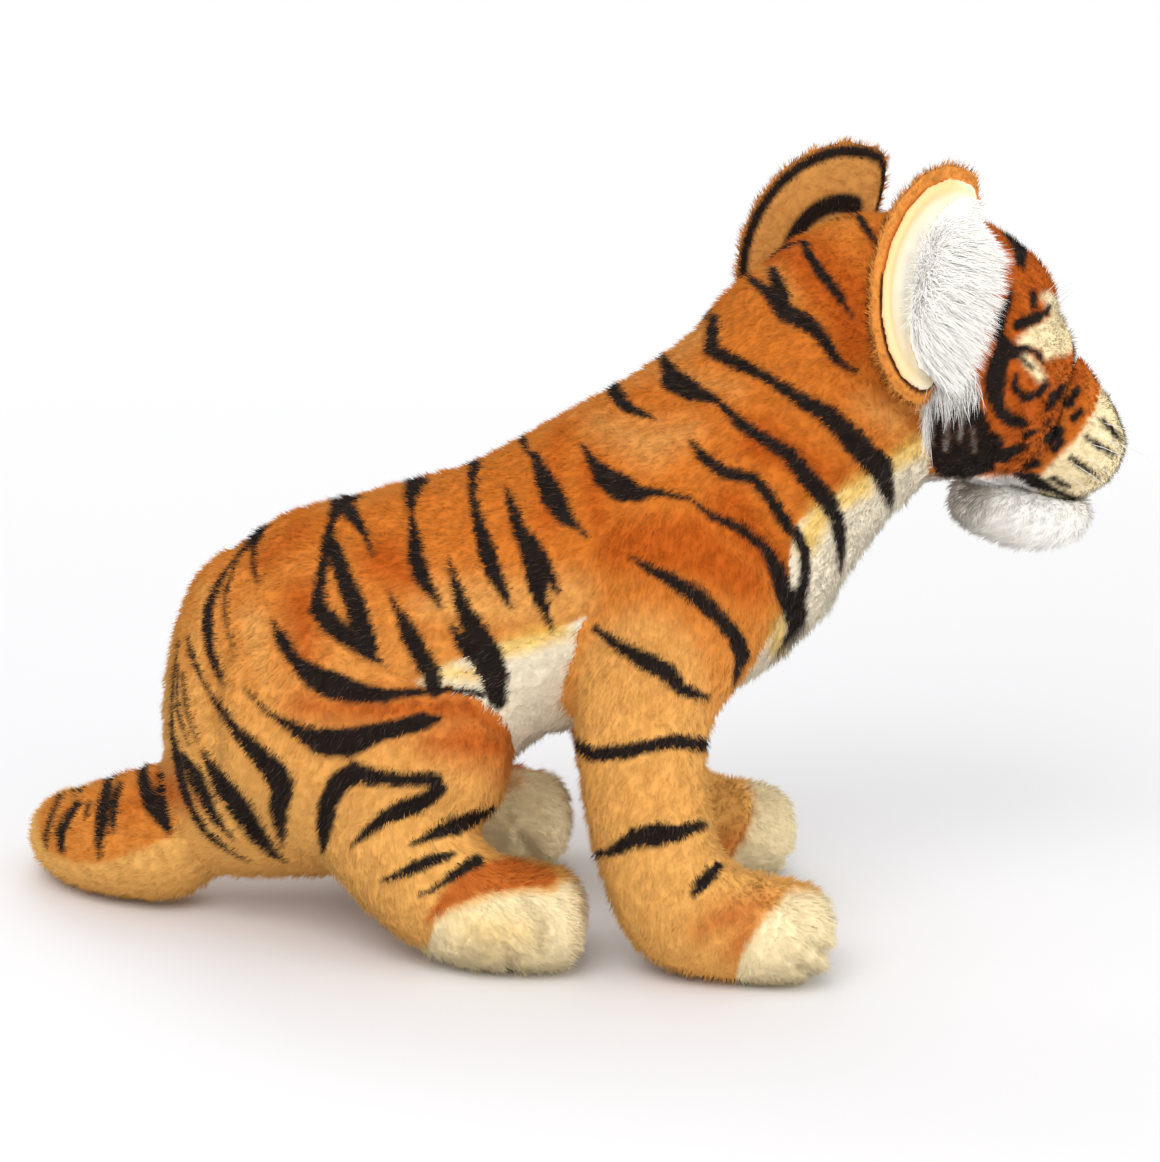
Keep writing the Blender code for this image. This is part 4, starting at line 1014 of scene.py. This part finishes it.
def coat_finish():
    finish = Finish("striped_plush", 0.85, Specular_IOR_Level=0.12)
    stripe, white, cream, tan = finish.attribute("coat")
    rust, yellow, height, chance = finish.attribute("pile")
    shade = finish.mixed(ORANGE, TAN, (tan + (chance - 0.5) * TAN_CHANCE).clamped())
    shade = finish.mixed(shade, RUST, (rust * RUST_MOST + (chance - 0.7) * RUST_CHANCE).clamped())
    shade = finish.mixed(shade, CREAM, cream)
    shade = finish.mixed(shade, WHITE, white)
    shade = finish.mixed(shade, YELLOW, yellow * YELLOW_MOST)
    # Painted sheen and real tips: a share of the stripe hairs is paler, for the grey gloss in the stripes and
    # for their brownish tips.
    dark = finish.mixed(STRIPE, STRIPE_SHEEN_AND_TIPS, ((chance - SHEEN_AND_TIP_START) * SHEEN_AND_TIP_RISE).clamped())
    shade = finish.mixed(shade, dark, stripe)
    # Painted shade: darker towards each hair's root, and a little at random, as the shadow deep in the pile.
    depth = (1 - height) * DEPTH_MOST + chance * DEPTH_CHANCE
    depth = depth * (1 - white * WHITE_LIT) * (1 - cream * CREAM_LIT)
    finish.feed("Base Color", finish.mixed(shade, ROOT_SHADE, depth.clamped(), "MULTIPLY"))
    return finish.material


plush = coat_finish()
print("made", plush.name)

# %% Comb the whole skin
NOSE_TIP = np.array([0.250, 0.053, 0.247])
COMB_ROUNDS = 30
combs = {
    "torso": (-1.0, 0.0, -0.45), "belly": (-1.0, 0.0, -0.2), "haunch": (-0.6, 0.0, -0.9),
    "hind_leg": (0.35, 0.0, -1.0), "hind_paw": (1.0, 0.0, -0.5), "front_leg": (-0.2, 0.0, -1.0),
    "front_paw": (1.0, 0.0, -0.45), "tail": (-0.7, 0.35, -0.1),
}


def unit(vectors):
    return vectors / np.maximum(np.linalg.norm(vectors, axis=1, keepdims=True), 1e-12)


def comb_of(name, places):
    """The way a cover's pile is combed at some places."""
    if name in head_names:
        return unit(places - NOSE_TIP) + np.array([0.0, 0.0, -0.15])
    way = next(way for key, way in combs.items() if name.startswith(key))
    return np.tile(unit(np.array([way])), (len(places), 1))


def combed_skin():
    """The pile's way at each corner, which turns smoothly from one panel to the next."""
    face_ways = np.zeros((len(faces), 3))
    for number, name in enumerate(cover_names):
        own = owners == number
        face_ways[own] = comb_of(name, middles[own])
    corner, count = faces.ravel(), len(places)
    shared = np.bincount(corner, minlength=count)[:, None]
    for _ in range(COMB_ROUNDS):
        sums = [np.bincount(corner, np.repeat(face_ways[:, k], 4), count) for k in range(3)]
        corner_ways = np.stack(sums, 1) / shared
        face_ways = corner_ways[faces].mean(1)
    return corner_ways


combing = combed_skin()
print("combed", len(combing), "corners")

# %% Cut the panels out
CLOTH_THICKNESS = 0.0012
# The cloth under the pile takes the painted root shade of this height.
CLOTH_HEIGHT = 0.35


def panel_mesh(name, number):
    """One cover's share of the skin: its mesh and the numbers of its corners in the whole."""
    own = faces[owners == number]
    used, renumbered = np.unique(own, return_inverse=True)
    mesh = bpy.data.meshes.new(name)
    mesh.from_pydata(places[used].tolist(), [], renumbered.reshape(-1, 4).tolist())
    return mesh, used, renumbered.reshape(-1, 4)


def dress(piece, material):
    """Gives a piece its one material and smooth shading."""
    piece.data.shade_smooth()
    piece.data.materials.clear()
    piece.data.materials.append(material)


def declare(piece, slot, way, *nodes):
    """Hides the solids that a stuffed piece stands for, and lets follow place it. slot is not used."""
    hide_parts(*nodes)
    follow(piece, way)


def mark_cloth(mesh, found):
    """Stores a cloth's markings, at one height in the pile and with an even share of chance."""
    count = len(mesh.vertices)
    store_markings(mesh, found, np.full(count, CLOTH_HEIGHT), np.full(count, 0.5))


skins = {}
for number, name in enumerate(cover_names):
    filling, slot, way = covers[name]
    mesh, used, own_faces = panel_mesh(name + "_fur", number)
    mark_cloth(mesh, markings(places[used], name))
    panel = add_object(name + "_cloth", mesh)
    modify(panel, "SOLIDIFY", thickness=CLOTH_THICKNESS, offset=-1.0)
    dress(panel, plush)
    declare(panel, slot, way, name, *([filling] if filling else []))
    skins[name] = (places[used], normals[used], own_faces, combing[used])
bpy.data.objects.remove(coat)
print("cut", len(skins), "panels")

# %% [markdown]
# ## The pile
#
# Short plush pile is what makes the toy look soft. A hair system would be lost in the
# export, so each hair here is real geometry: a three-sided spike with a closed foot, only
# four triangles. Hairs lean the way the pile is combed, and smooth noise bends neighbours
# together into small tufts. Their normals lean towards the skin's, so that the light falls
# on the coat as a whole. Each hair has its own small cell in the texture map.

# %% Grow hairs on a surface
HAIR_DENSITY = 0.79e6
HAIR_LENGTH, HAIR_WIDTH = 0.0052, 0.00048
HAIR_LEAN, LEAN_LEAST, LEAN_MOST, SPREAD = 1.12, 0.25, 1.42, 0.16
NORMAL_SHARE = 0.85
MAP_BLOCK = 0.004
CELL_LOW, CELL_HIGH, CELL_TOP = 0.1, 0.9, 0.92
hair_lengths = {"muzzle_cover": 0.0034, "head_cover": 0.0042, "belly_panel": 0.0056}
hair_lengths.update({f"{end}_paw_cover_{side}": 0.0062 for end in ("front", "hind") for side in SIDES})


def scatter(surface, density, seed):
    """Random places on a surface of four-cornered faces, with the normal and comb at each."""
    corners, corner_ways, quads, combs_there = surface
    triangles = np.concatenate([quads[:, [0, 1, 2]], quads[:, [0, 2, 3]]])
    a, b, c = (corners[triangles[:, k]] for k in range(3))
    areas = np.linalg.norm(np.cross(b - a, c - a), axis=1) / 2
    chance = np.random.default_rng(seed)
    count = int(areas.sum() * density)
    chosen = chance.choice(len(areas), count, p=areas / areas.sum())
    u, v = chance.random((2, count, 1))
    over = (u + v > 1)[:, 0]
    u[over], v[over] = 1 - u[over], 1 - v[over]
    shares = (1 - u - v, u, v)
    at, up, lie = (
        sum(s * values[triangles[chosen, k]] for k, s in enumerate(shares))
        for values in (corners, corner_ways, combs_there)
    )
    up = unit(up)
    return at, up, unit(lie - up * (up * lie).sum(1, keepdims=True))


def spike_corners(spines, widths, ways):
    """The corners of every spike, and the three ways in which its foot's corners lie."""
    count, steps = spines.shape[0], spines.shape[1] - 1
    spread = unit(spines[:, -1] - spines[:, 0])
    across = unit(np.cross(spread, ways) + 1e-9)
    other = np.cross(spread, across)
    ring = np.zeros((count, 3, 3))
    for number in range(3):
        angle = 2 * math.pi * number / 3
        ring[:, number] = across * math.cos(angle) + other * math.sin(angle)
    thin = 1 - (np.arange(steps) / steps) ** 2
    rings = spines[:, :-1, None] + ring[:, None] * (widths[:, None] / 2 * thin)[:, :, None, None]
    return np.concatenate([rings.reshape(count, -1, 3), spines[:, -1:]], 1), ring


def spike_faces(steps):
    """The triangles of one spike: its foot, its sides and its tip."""
    sides = [[0, 2, 1]]
    for step in range(steps - 1):
        for number in range(3):
            low, high = 3 * step + number, 3 * step + (number + 1) % 3
            sides += [[low, high, high + 3], [low, high + 3, low + 3]]
    last = 3 * (steps - 1)
    sides += [[last + k, last + (k + 1) % 3, last + 3] for k in range(3)]
    return np.array(sides)


def map_cells(feet, steps, height):
    """The corners of each spike in a cell of the texture map that lies near its neighbours' cells."""
    count = len(feet)
    blocks = np.floor(feet / MAP_BLOCK).astype(np.int64)
    order = np.zeros(count, np.int64)
    order[np.lexsort((blocks[:, 0], blocks[:, 1], blocks[:, 2]))] = np.arange(count)
    side = math.ceil(math.sqrt(count))
    cell = np.stack([order % side, order // side], 1)
    across = np.append(np.tile([CELL_LOW, CELL_HIGH, 0.5], steps), 0.5)
    up = CELL_LOW + (CELL_HIGH - CELL_LOW) * height
    up[2::3] += CELL_LOW
    spots = np.stack([across, np.minimum(up, CELL_TOP)], 1)
    return (cell[:, None] + spots[None]) / side


def triangle_mesh(name, corners, triangles):
    mesh = bpy.data.meshes.new(name)
    mesh.vertices.add(len(corners))
    mesh.vertices.foreach_set("co", corners.ravel())
    mesh.loops.add(triangles.size)
    mesh.loops.foreach_set("vertex_index", triangles.ravel())
    mesh.polygons.add(len(triangles))
    mesh.polygons.foreach_set("loop_start", np.arange(len(triangles)) * 3)
    mesh.update(calc_edges=True)
    mesh.polygons.foreach_set("use_smooth", np.ones(len(triangles), bool))
    return mesh


def hair_mesh(name, spines, widths, ways, found, chances):
    """One mesh of three-sided spikes along spines, with markings, soft normals and texture cells.

    spines has a row for each hair, and in it the places from its foot to its tip.
    """
    count, steps = spines.shape[0], spines.shape[1] - 1
    corners, ring = spike_corners(spines, widths, ways)
    size = corners.shape[1]
    triangles = (np.arange(count)[:, None, None] * size + spike_faces(steps)).reshape(-1, 3)
    mesh = triangle_mesh(name, corners.reshape(-1, 3), triangles)
    height = np.append(np.repeat(np.arange(steps) / steps, 3), 1.0)
    store_markings(
        mesh, {key: np.repeat(value, size) for key, value in found.items()},
        np.tile(height, count), np.repeat(chances, size),
    )
    own = np.concatenate([np.repeat(ring[:, None], steps, 1).reshape(count, -1, 3), ways[:, None]], 1)
    soft = unit((own * (1 - NORMAL_SHARE) + ways[:, None] * NORMAL_SHARE).reshape(-1, 3))
    mesh.normals_split_custom_set_from_vertices(soft.tolist())
    layer = mesh.uv_layers.new(name="OFBake")
    spots = map_cells(spines[:, 0], steps, height).reshape(-1, 2)[triangles.ravel()]
    layer.uv.foreach_set("vector", spots.astype(np.float32).ravel())
    return mesh


# %% Add hairs as pieces
MOST_HAIRS = 48000
hair_count = 0


def add_hairs(name, spines, widths, ways, found, chances, way):
    """Adds hairs as one piece, or as several layers where they are too many for one."""
    global hair_count
    layers = math.ceil(len(spines) * (spines.shape[1] - 1) / MOST_HAIRS)
    for layer in range(layers):
        own = slice(layer, None, layers)
        label = name if layers == 1 else f"{name}_{layer + 1}"
        some = {key: value[own] for key, value in found.items()}
        mesh = hair_mesh(label, spines[own], widths[own], ways[own], some, chances[own])
        mesh.materials.append(plush)
        piece = add_object(label, mesh)
        follow(piece, way)
    hair_count += len(spines)
    print(name, len(spines), "hairs in", layers)


MARK_PLACE = 0.6
TUFT_SIZE, LEAN_SIZE = 0.007, 0.012
TIP_LOWEST, FOOT_DEPTH = 0.0004, 0.0006


def grow(name, surface, seed, length, way, allowed=None, marks=None, lift=0.0):
    """Grows the pile of one cover.

    allowed says at which places a hair may stand. lift turns the shading of white pile to the
    sky, because light passes on from hair to hair.
    """
    feet, ways, lie = scatter(surface, HAIR_DENSITY, seed)
    if allowed is not None:
        kept = allowed(feet, ways)
        feet, ways, lie = feet[kept], ways[kept], lie[kept]
    chance = np.random.default_rng(seed + 1)
    chances = chance.random(len(feet))
    tuft = np.stack([waves(feet, TUFT_SIZE, seed + k) for k in range(2, 5)], 1)
    lean = HAIR_LEAN + chance.normal(0, SPREAD, len(feet)) + 0.15 * waves(feet, LEAN_SIZE, seed + 5)
    lean = np.clip(lean, LEAN_LEAST, LEAN_MOST)[:, None]
    lie = unit(lie + 0.25 * tuft + chance.normal(0, SPREAD, feet.shape))
    reach = length * (0.75 + 0.4 * chance.random(len(feet)))[:, None]
    tips = feet + reach * unit(ways * np.cos(lean) + lie * np.sin(lean))
    tips[:, 2] = np.maximum(tips[:, 2], TIP_LOWEST)
    sunk = feet - ways * FOOT_DEPTH
    sunk[:, 2] = np.maximum(sunk[:, 2], FOOT_DEPTH)
    widths = HAIR_WIDTH * (0.8 + 0.4 * chance.random(len(feet)))
    middle = feet + MARK_PLACE * (tips - feet)
    found = markings(middle, name) if marks is None else marks(middle, ways)
    shaded = unit(ways + np.array([0.0, 0.0, lift]))
    add_hairs(name + "_pile", np.stack([sunk, tips], 1), widths, shaded, found, chances, way)


EYE_CLEAR = 0.0112


def off_the_eyes(feet, ways):
    return eye_gap(feet) > EYE_CLEAR


for number, (name, surface) in enumerate(skins.items()):
    _, slot, way = covers[name]
    length = hair_lengths.get(name, HAIR_LENGTH)
    kept = off_the_eyes if name in head_names else None
    grow(name, surface, 100 + 10 * number, length, way, allowed=kept)
print("hairs so far:", hair_count)

# %% [markdown]
# ## The chin
#
# The lower jaw is a small white cushion of its own, sewn on under the muzzle. Kept as its
# own skin, it leaves the dark fold of the mouth above it.

# %% Make the chin
CHIN_STEP, CHIN_ROUNDS = 0.0022, 5


def surface_of(piece, comb):
    """The outer surface of a mesh of four-cornered faces, as scatter takes it."""
    corners = corner_places(piece.data)
    return corners, corner_normals(piece.data), face_arrays(piece.data)[0], comb(corners)


def finish_skin(piece, found, slot, way, *nodes):
    """Gives a closed skin its markings and material, hides its solids and lets follow place it. slot is not
    used.
    """
    mark_cloth(piece.data, found)
    dress(piece, plush)
    declare(piece, slot, way, *nodes)


chin = melted(merged_copy("chin_cloth", ["chin_cover", "chin_filling"]), CHIN_STEP, CHIN_ROUNDS)
chin_surface = surface_of(chin, lambda corners: comb_of("chin_cover", corners))
grow("chin_cover", chin_surface, 500, 0.0055, "head", lift=0.8)
finish_skin(chin, markings(chin_surface[0], "chin_cover"), "fur_white", "head", "chin_cover", "chin_filling")

# %% [markdown]
# ## The ears
#
# Each ear is a furred back with two dark rings, a suede lining with a rolled golden edge,
# and a mass of long white hair that fans forward out of it. All three are laid out in the
# ear's own frame: how far out from the root, how far along it, and how far to its open
# side. So both ears match, each as the other's mirror image.

# %% The ear's own frame
EAR_WIDTH, EAR_ROOT_DEPTH, EAR_HALF_HEIGHT, EAR_MIDDLE = 0.043, 0.014, 0.055, 0.0209
EAR_FACING = (0.219, 0.966, 0.144)


class EarFrame:
    """One ear's root, and its three ways: out, along and facing."""

    def __init__(self, side):
        joint = joints[f"ear_{side}_fold"]
        sign = 1 if side == "left" else -1
        facing = np.array([EAR_FACING[0], sign * EAR_FACING[1], EAR_FACING[2]])
        cosine, sine = math.cos(HEAD_TURN), math.sin(HEAD_TURN)
        turn = np.array([[cosine, -sine, 0], [sine, cosine, 0], [0, 0, 1]])
        self.root, self.along = np.array(joint["pos_m"]), np.array(joint["axis"])
        facing = turn @ facing
        facing -= self.along * (facing @ self.along)
        self.facing = facing / np.linalg.norm(facing)
        self.out = np.cross(self.along, self.facing) * sign

    def local(self, places):
        """How far out, along from the ear's middle, and facing each place is."""
        way = places - self.root
        return way @ self.out, way @ self.along - EAR_MIDDLE, way @ self.facing

    def ring(self, places):
        """0 at the ear's middle line and 1 at its edge."""
        out, along, _ = self.local(places)
        wide = np.where(out > 0, EAR_WIDTH, EAR_ROOT_DEPTH)
        return np.hypot(out / wide, along / EAR_HALF_HEIGHT)

    def turned(self, out, along, facing):
        """The world way of parts along the ear's own ways."""
        return unit(np.outer(out, self.out) + np.outer(along, self.along) + np.outer(facing, self.facing))


ears = {side: EarFrame(side) for side in SIDES}

# %% Markings of the furred backs
EAR_STEP, EAR_ROUNDS = 0.0016, 4
EAR_PILE = 0.0042
LINING_CLEAR = 0.0011
RIM_FACING, RIM_SEAM_TOP = 0.3, -0.006
BACK_GREY, BACK_EDGE = 0.16, 0.9
OUTER_RING, INNER_RING, RIM_SEAM = (0.93, 0.085, 0.05), (0.46, 0.13, 0.06), (0.87, 0.035, 0.02)


def ear_markings(ear, places, ways):
    """Two dark rings on the back, tan between them, and a golden rim."""
    ring = ear.ring(places)
    along = ear.local(places)[1]
    back = (ways @ ear.facing < RIM_FACING).astype(float)
    outer, inner, seam = (
        ramp(half - np.abs(ring - place), soft) for place, half, soft in (OUTER_RING, INNER_RING, RIM_SEAM)
    )
    seam *= (1 - back) * (along < RIM_SEAM_TOP)
    grey = BACK_GREY * (ring < BACK_EDGE)
    found = no_marks(len(places))
    found["stripe"] = np.maximum(back * np.maximum(grey, np.maximum(outer, inner)), seam * 0.9)
    found["tan"] += 0.40 + 0.4 * back * (ring < BACK_EDGE)
    found["rust"] += 0.2
    return found


# %% Suede linings with a rolled edge
LINING_STEP, LINING_ROUNDS = 0.0011, 3
LINING_DRAW = 0.07
ROLL_HEIGHT, ROLL_PLACE, ROLL_SPREAD = 0.0010, 0.86, 0.05
GOLD_START, GOLD_POWER, GOLD_RISE = 0.55, 1.5, 0.012


def suede_finish():
    finish = Finish("ear_suede", 0.9, Specular_IOR_Level=0.15)
    golden, roll, low, _ = finish.attribute("lining")
    mottle = finish.noise(160.0, 4.0)
    warm = (golden + (mottle - 0.5) * 0.3).clamped()
    shade = finish.mixed(colour(255, 250, 234), colour(240, 202, 142), warm)
    shade = finish.mixed(shade, colour(244, 210, 152), roll * 0.7)
    # Painted shade: the lining turns greyer towards the ear's lower end, as shade inside the cup.
    shade = finish.mixed(shade, colour(240, 226, 190), low * 0.4)
    finish.feed("Base Color", shade)
    finish.bump(finish.noise(1400.0, 3.0).socket, 0.0003, 0.5)
    return finish.material


suede = suede_finish()


def make_lining(side):
    ear = ears[side]
    lining = merged_copy(f"ear_lining_{side}_suede", [f"ear_lining_{side}"])
    melted(lining, LINING_STEP, LINING_ROUNDS)
    mesh = lining.data
    places, ways = corner_places(mesh), corner_normals(mesh)
    ring = ear.ring(places)
    out, along, _ = ear.local(places)
    roll = np.exp(-(((ring - ROLL_PLACE) / ROLL_SPREAD) ** 2)) * (ways @ ear.facing > 0)
    places += ways * (ROLL_HEIGHT * roll)[:, None]
    inwards = ear.root + ear.along * EAR_MIDDLE + ear.out * EAR_WIDTH * 0.35 - places
    inwards -= np.outer(inwards @ ear.facing, ear.facing)
    places += inwards * LINING_DRAW
    set_corners(mesh, places)
    golden = ramp(ring - GOLD_START, ROLL_PLACE - GOLD_START) ** GOLD_POWER * ramp(out, GOLD_RISE)
    # low paints shade: it grows towards the ear's lower end.
    low = ramp(-along, EAR_HALF_HEIGHT)
    attribute = mesh.attributes.new("lining", "FLOAT_COLOR", "POINT")
    attribute.data.foreach_set(
        "color", np.stack([golden, roll, low, np.ones(len(ring))], 1).astype(np.float32).ravel()
    )
    dress(lining, suede)
    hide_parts(f"ear_lining_{side}")
    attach(lining, f"ear_{side}")
    return lining


linings = {side: make_lining(side) for side in SIDES}
print("linings made")


# %% Furred backs and rims
def grow_ear_back(side, seed):
    ear = ears[side]
    back = melted(merged_copy(f"ear_back_{side}_cloth", [f"ear_back_{side}"]), EAR_STEP, EAR_ROUNDS)
    surface = surface_of(back, lambda corners: corners - ear.root)
    mesh = linings[side].data
    lining = BVHTree.FromPolygons([v.co for v in mesh.vertices], [p.vertices for p in mesh.polygons])

    def clear_of_lining(feet, ways):
        facing = ways @ ear.facing > RIM_FACING
        near = np.array([lining.find_nearest(Vector(p), LINING_CLEAR)[0] is not None for p in feet])
        return ~(facing & near)

    grow(
        f"ear_back_{side}", surface, seed, EAR_PILE, f"ear_{side}",
        allowed=clear_of_lining, marks=lambda feet, ways: ear_markings(ear, feet, ways),
    )
    marks = ear_markings(ear, surface[0], surface[1])
    finish_skin(back, marks, "fur_orange", f"ear_{side}", f"ear_back_{side}")


for number, side in enumerate(SIDES):
    grow_ear_back(side, 600 + 20 * number)

# %% Long white hair
TUFT_STEP, TUFT_ROUNDS = 0.0016, 4
TUFT_DENSITY = 2.7e6
TUFT_WIDTH = 0.55 * EAR_WIDTH
TUFT_TOP, TUFT_TOP_CUT = 0.30, 0.75
TUFT_LENGTH, TUFT_HAIR_WIDTH = 0.010, 0.00041
LONG_STEPS = 4


def long_hairs(feet, starts, ends, lengths, droop=0.0):
    """Spines that set off one way and bend over to another."""
    shares = np.linspace(0, 1, LONG_STEPS + 1)[1:]
    spine, at = [feet], feet
    for share in shares:
        way = unit(starts * (1 - share) + ends * share - np.array([0, 0, droop * share]))
        at = at + way * (lengths / LONG_STEPS)[:, None]
        spine.append(at)
    return np.stack(spine, 1)


def white_marks(count, stripe=0.0):
    marks = no_marks(count)
    marks["white"] += 1
    marks["stripe"] += stripe
    return marks


def grow_tuft(side, seed):
    ear = ears[side]
    tuft = melted(merged_copy(f"ear_tuft_{side}_cloth", [f"ear_tuft_{side}"]), TUFT_STEP, TUFT_ROUNDS)
    surface = surface_of(tuft, lambda corners: corners - ear.root)
    feet, ways, _ = scatter(surface, TUFT_DENSITY, seed)
    kept = ways @ ear.facing > -0.2
    feet, ways = feet[kept], ways[kept]
    chance = np.random.default_rng(seed + 1)
    out, along, _ = ear.local(feet)
    high = along / EAR_HALF_HEIGHT
    behind = ramp(out, TUFT_WIDTH) ** 2
    count = len(feet)

    def strayed(value, size):
        return value + chance.normal(0, size, count)

    starts = ear.turned(strayed(-0.55 + 1.2 * behind, 0.15), strayed(0.5 * high, 0.2), strayed(0.75, 0.15))
    ends = ear.turned(
        strayed(-1 + 1.9 * behind, 0.1), strayed(0.75 * high - 0.1, 0.18), strayed(0.12, 0.16)
    )
    lengths = TUFT_LENGTH * (1 + chance.random(count)) * (1 - 0.45 * behind)
    lengths *= 1 - TUFT_TOP_CUT * ramp(high - TUFT_TOP, 0.25)
    widths = TUFT_HAIR_WIDTH * (0.8 + 0.4 * chance.random(count))
    spines = long_hairs(feet - ways * 0.001, starts, ends, lengths)
    soft = unit(ways + 2 * ear.facing + np.array([0.0, 0.0, 1.2]))
    add_hairs(
        f"ear_tuft_{side}_hair", spines, widths, soft, white_marks(count), chance.random(count),
        f"ear_{side}",
    )
    finish_skin(tuft, white_marks(len(surface[0])), "fur_white", f"ear_{side}", f"ear_tuft_{side}")


for number, side in enumerate(SIDES):
    grow_tuft(side, 700 + 20 * number)

# %% [markdown]
# ## Longer hairs on the face
#
# Under each ear hangs a ruff of grey and white hair, and the brows and the muzzle carry a
# few fine whiskers. They are the same spikes, only longer, with more bends.

# %% Ruff, brows and whiskers
ruff_strokes = [
    [(918, 350, 12), (932, 366, 28), (950, 378, 30), (966, 376, 18)],
    [(926, 400, 8), (926, 440, 8)],
]
RUFF_DENSITY, RUFF_LENGTH, RUFF_SPREAD, RUFF_WIDTH, RUFF_GREY = 1.1e6, 0.010, 0.011, 0.0004, 0.6
WHISKER_SPOTS = [(1104, 424), (1098, 434), (1092, 446), (1084, 456), (1076, 464), (1066, 476), (1106, 440)]
BROW_SPOTS = [(1046, 292), (1052, 297), (1058, 300), (1062, 308), (1050, 304), (1056, 310)]


def side_copy(places, side):
    """Places on the right of the head, or their mirror images on its left."""
    if side == "right":
        return places
    level = turned_about_neck(places, -HEAD_TURN)
    return turned_about_neck(level * np.array([1, -1, 1]), HEAD_TURN)


def grow_ruff():
    surface = skins["head_cover"]
    feet, ways, _ = scatter(surface, RUFF_DENSITY, 800)
    level = turned_about_neck(feet, -HEAD_TURN)
    picked = stroke_mask(in_picture(on_seen_side(feet, True)), ruff_strokes, 12.0) > 0.6
    for side in SIDES:
        own = picked & ((level[:, 1] < 0) == (side == "right"))
        some, some_ways = feet[own], ways[own]
        count = len(some)
        chance = np.random.default_rng(810)
        starts = unit(some_ways * 0.8 + head_way(0.0, 0.3, -0.5, side) + chance.normal(0, 0.15, (count, 3)))
        ends = unit(some_ways * 0.15 + head_way(-0.1, 0.1, -1.0, side) + chance.normal(0, 0.2, (count, 3)))
        lengths = RUFF_LENGTH + RUFF_SPREAD * chance.random(count)
        grey = RUFF_GREY * chance.random(count) ** 2
        add_hairs(
            f"ruff_{side}", long_hairs(some, starts, ends, lengths), np.full(count, RUFF_WIDTH), some_ways,
            white_marks(count, stripe=grey), chance.random(count), "head",
        )


def nearest_skin(spots, cover):
    """The places on a cover's skin that show nearest to spots of the photograph."""
    places, ways = skins[cover][:2]
    facing = ways @ camera_axes()[2] > 0.05
    shown = in_picture(places[facing])
    chosen = [np.linalg.norm(shown - np.array(spot), axis=1).argmin() for spot in spots]
    return places[facing][chosen]


def grow_whiskers(name, cover, spots, out_way, length, width, seed):
    right_feet = nearest_skin(spots, cover)
    for side in SIDES:
        feet = side_copy(right_feet, side)
        count = len(feet)
        chance = np.random.default_rng(seed)
        starts = unit(np.tile(head_way(*out_way, side), (count, 1)) + chance.normal(0, 0.12, (count, 3)))
        lengths = length * (0.7 + 0.3 * chance.random(count))
        ends = unit(starts + chance.normal(0, 0.1, (count, 3)))
        spines = long_hairs(feet, starts, ends, lengths, droop=0.5)
        add_hairs(
            f"{name}_{side}", spines, np.full(count, width), starts, white_marks(count),
            chance.random(count), "head",
        )


grow_ruff()
grow_whiskers("whiskers", "muzzle_cover", WHISKER_SPOTS, (0.35, 0.9, 0.0), 0.038, 0.00034, 820)
grow_whiskers("brow_hairs", "head_cover", BROW_SPOTS, (0.5, 0.3, 0.8), 0.014, 0.00030, 830)
print("all hairs:", hair_count)

# %% [markdown]
# ## Eyes and nose
#
# The eyes are glass domes on a shank, held by a washer behind the cloth, so the frame's own
# solids stay and only get their finish: a dark pupil in an amber ring under a clear, hard
# gloss. The nose is a small pad of suede with a soft, pebbled grain.

# %% Finish the hard parts
PUPIL_RADIUS, IRIS_RADIUS = 0.0046, 0.0072
EYE_WAY = (0.80, 0.56, 0.20)
NOSE_STEP, NOSE_ROUNDS = 0.0008, 3


def eye_finish(side):
    finish = Finish(f"glass_eye_{side}", 0.06, Coat_Weight=1.0, Coat_Roughness=0.02)
    place = finish.node("ShaderNodeTexCoord").outputs["Object"]
    away = finish.node("ShaderNodeVectorMath", {"operation": "SUBTRACT"}, place, tuple(EYES[side]))
    axis = tuple(Vector(head_way(*EYE_WAY, side)).normalized())
    across = finish.node("ShaderNodeVectorMath", {"operation": "CROSS_PRODUCT"}, away.outputs[0], axis)
    distance = Value(finish, finish.node(
        "ShaderNodeVectorMath", {"operation": "LENGTH"}, across.outputs[0]
    ).outputs["Value"])
    flecks = finish.noise(900.0, 3.0)
    beyond_pupil = ((distance - PUPIL_RADIUS) * 2500 + (flecks - 0.5)).clamped()
    beyond_iris = ((distance - IRIS_RADIUS) * 1500).clamped()
    shade = finish.mixed(colour(14, 8, 4), colour(150, 84, 22), beyond_pupil)
    shade = finish.mixed(shade, colour(70, 34, 10), (flecks - 0.3).clamped())
    finish.feed("Base Color", finish.mixed(shade, colour(16, 10, 8), beyond_iris))
    return finish.material


def steel_finish():
    finish = Finish("washer_steel", 0.35, Metallic=1.0)
    finish.feed("Base Color", finish.mixed(colour(176, 176, 178), colour(140, 140, 142), finish.noise(600.0)))
    return finish.material


def nose_finish():
    finish = Finish("nose_suede", 0.6, Specular_IOR_Level=0.3)
    grain = finish.noise(900.0, 4.0)
    finish.feed("Base Color", finish.mixed(colour(150, 96, 86), colour(112, 66, 60), grain))
    finish.bump(grain.socket, 0.0004, 0.7)
    return finish.material


def give(node, material):
    """Puts a material on a solid of the frame that stays as it is."""
    piece = frame["nodes"][node]
    for place in piece.material_slots:
        place.material = material


steel = steel_finish()
for side in SIDES:
    give(f"eye_{side}", eye_finish(side))
    give(f"eye_washer_{side}", steel)

nose = melted(merged_copy("nose_pad", ["nose"]), NOSE_STEP, NOSE_ROUNDS)
dress(nose, nose_finish())
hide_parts("nose")
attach(nose, "head")
print("eyes, washers and nose finished")
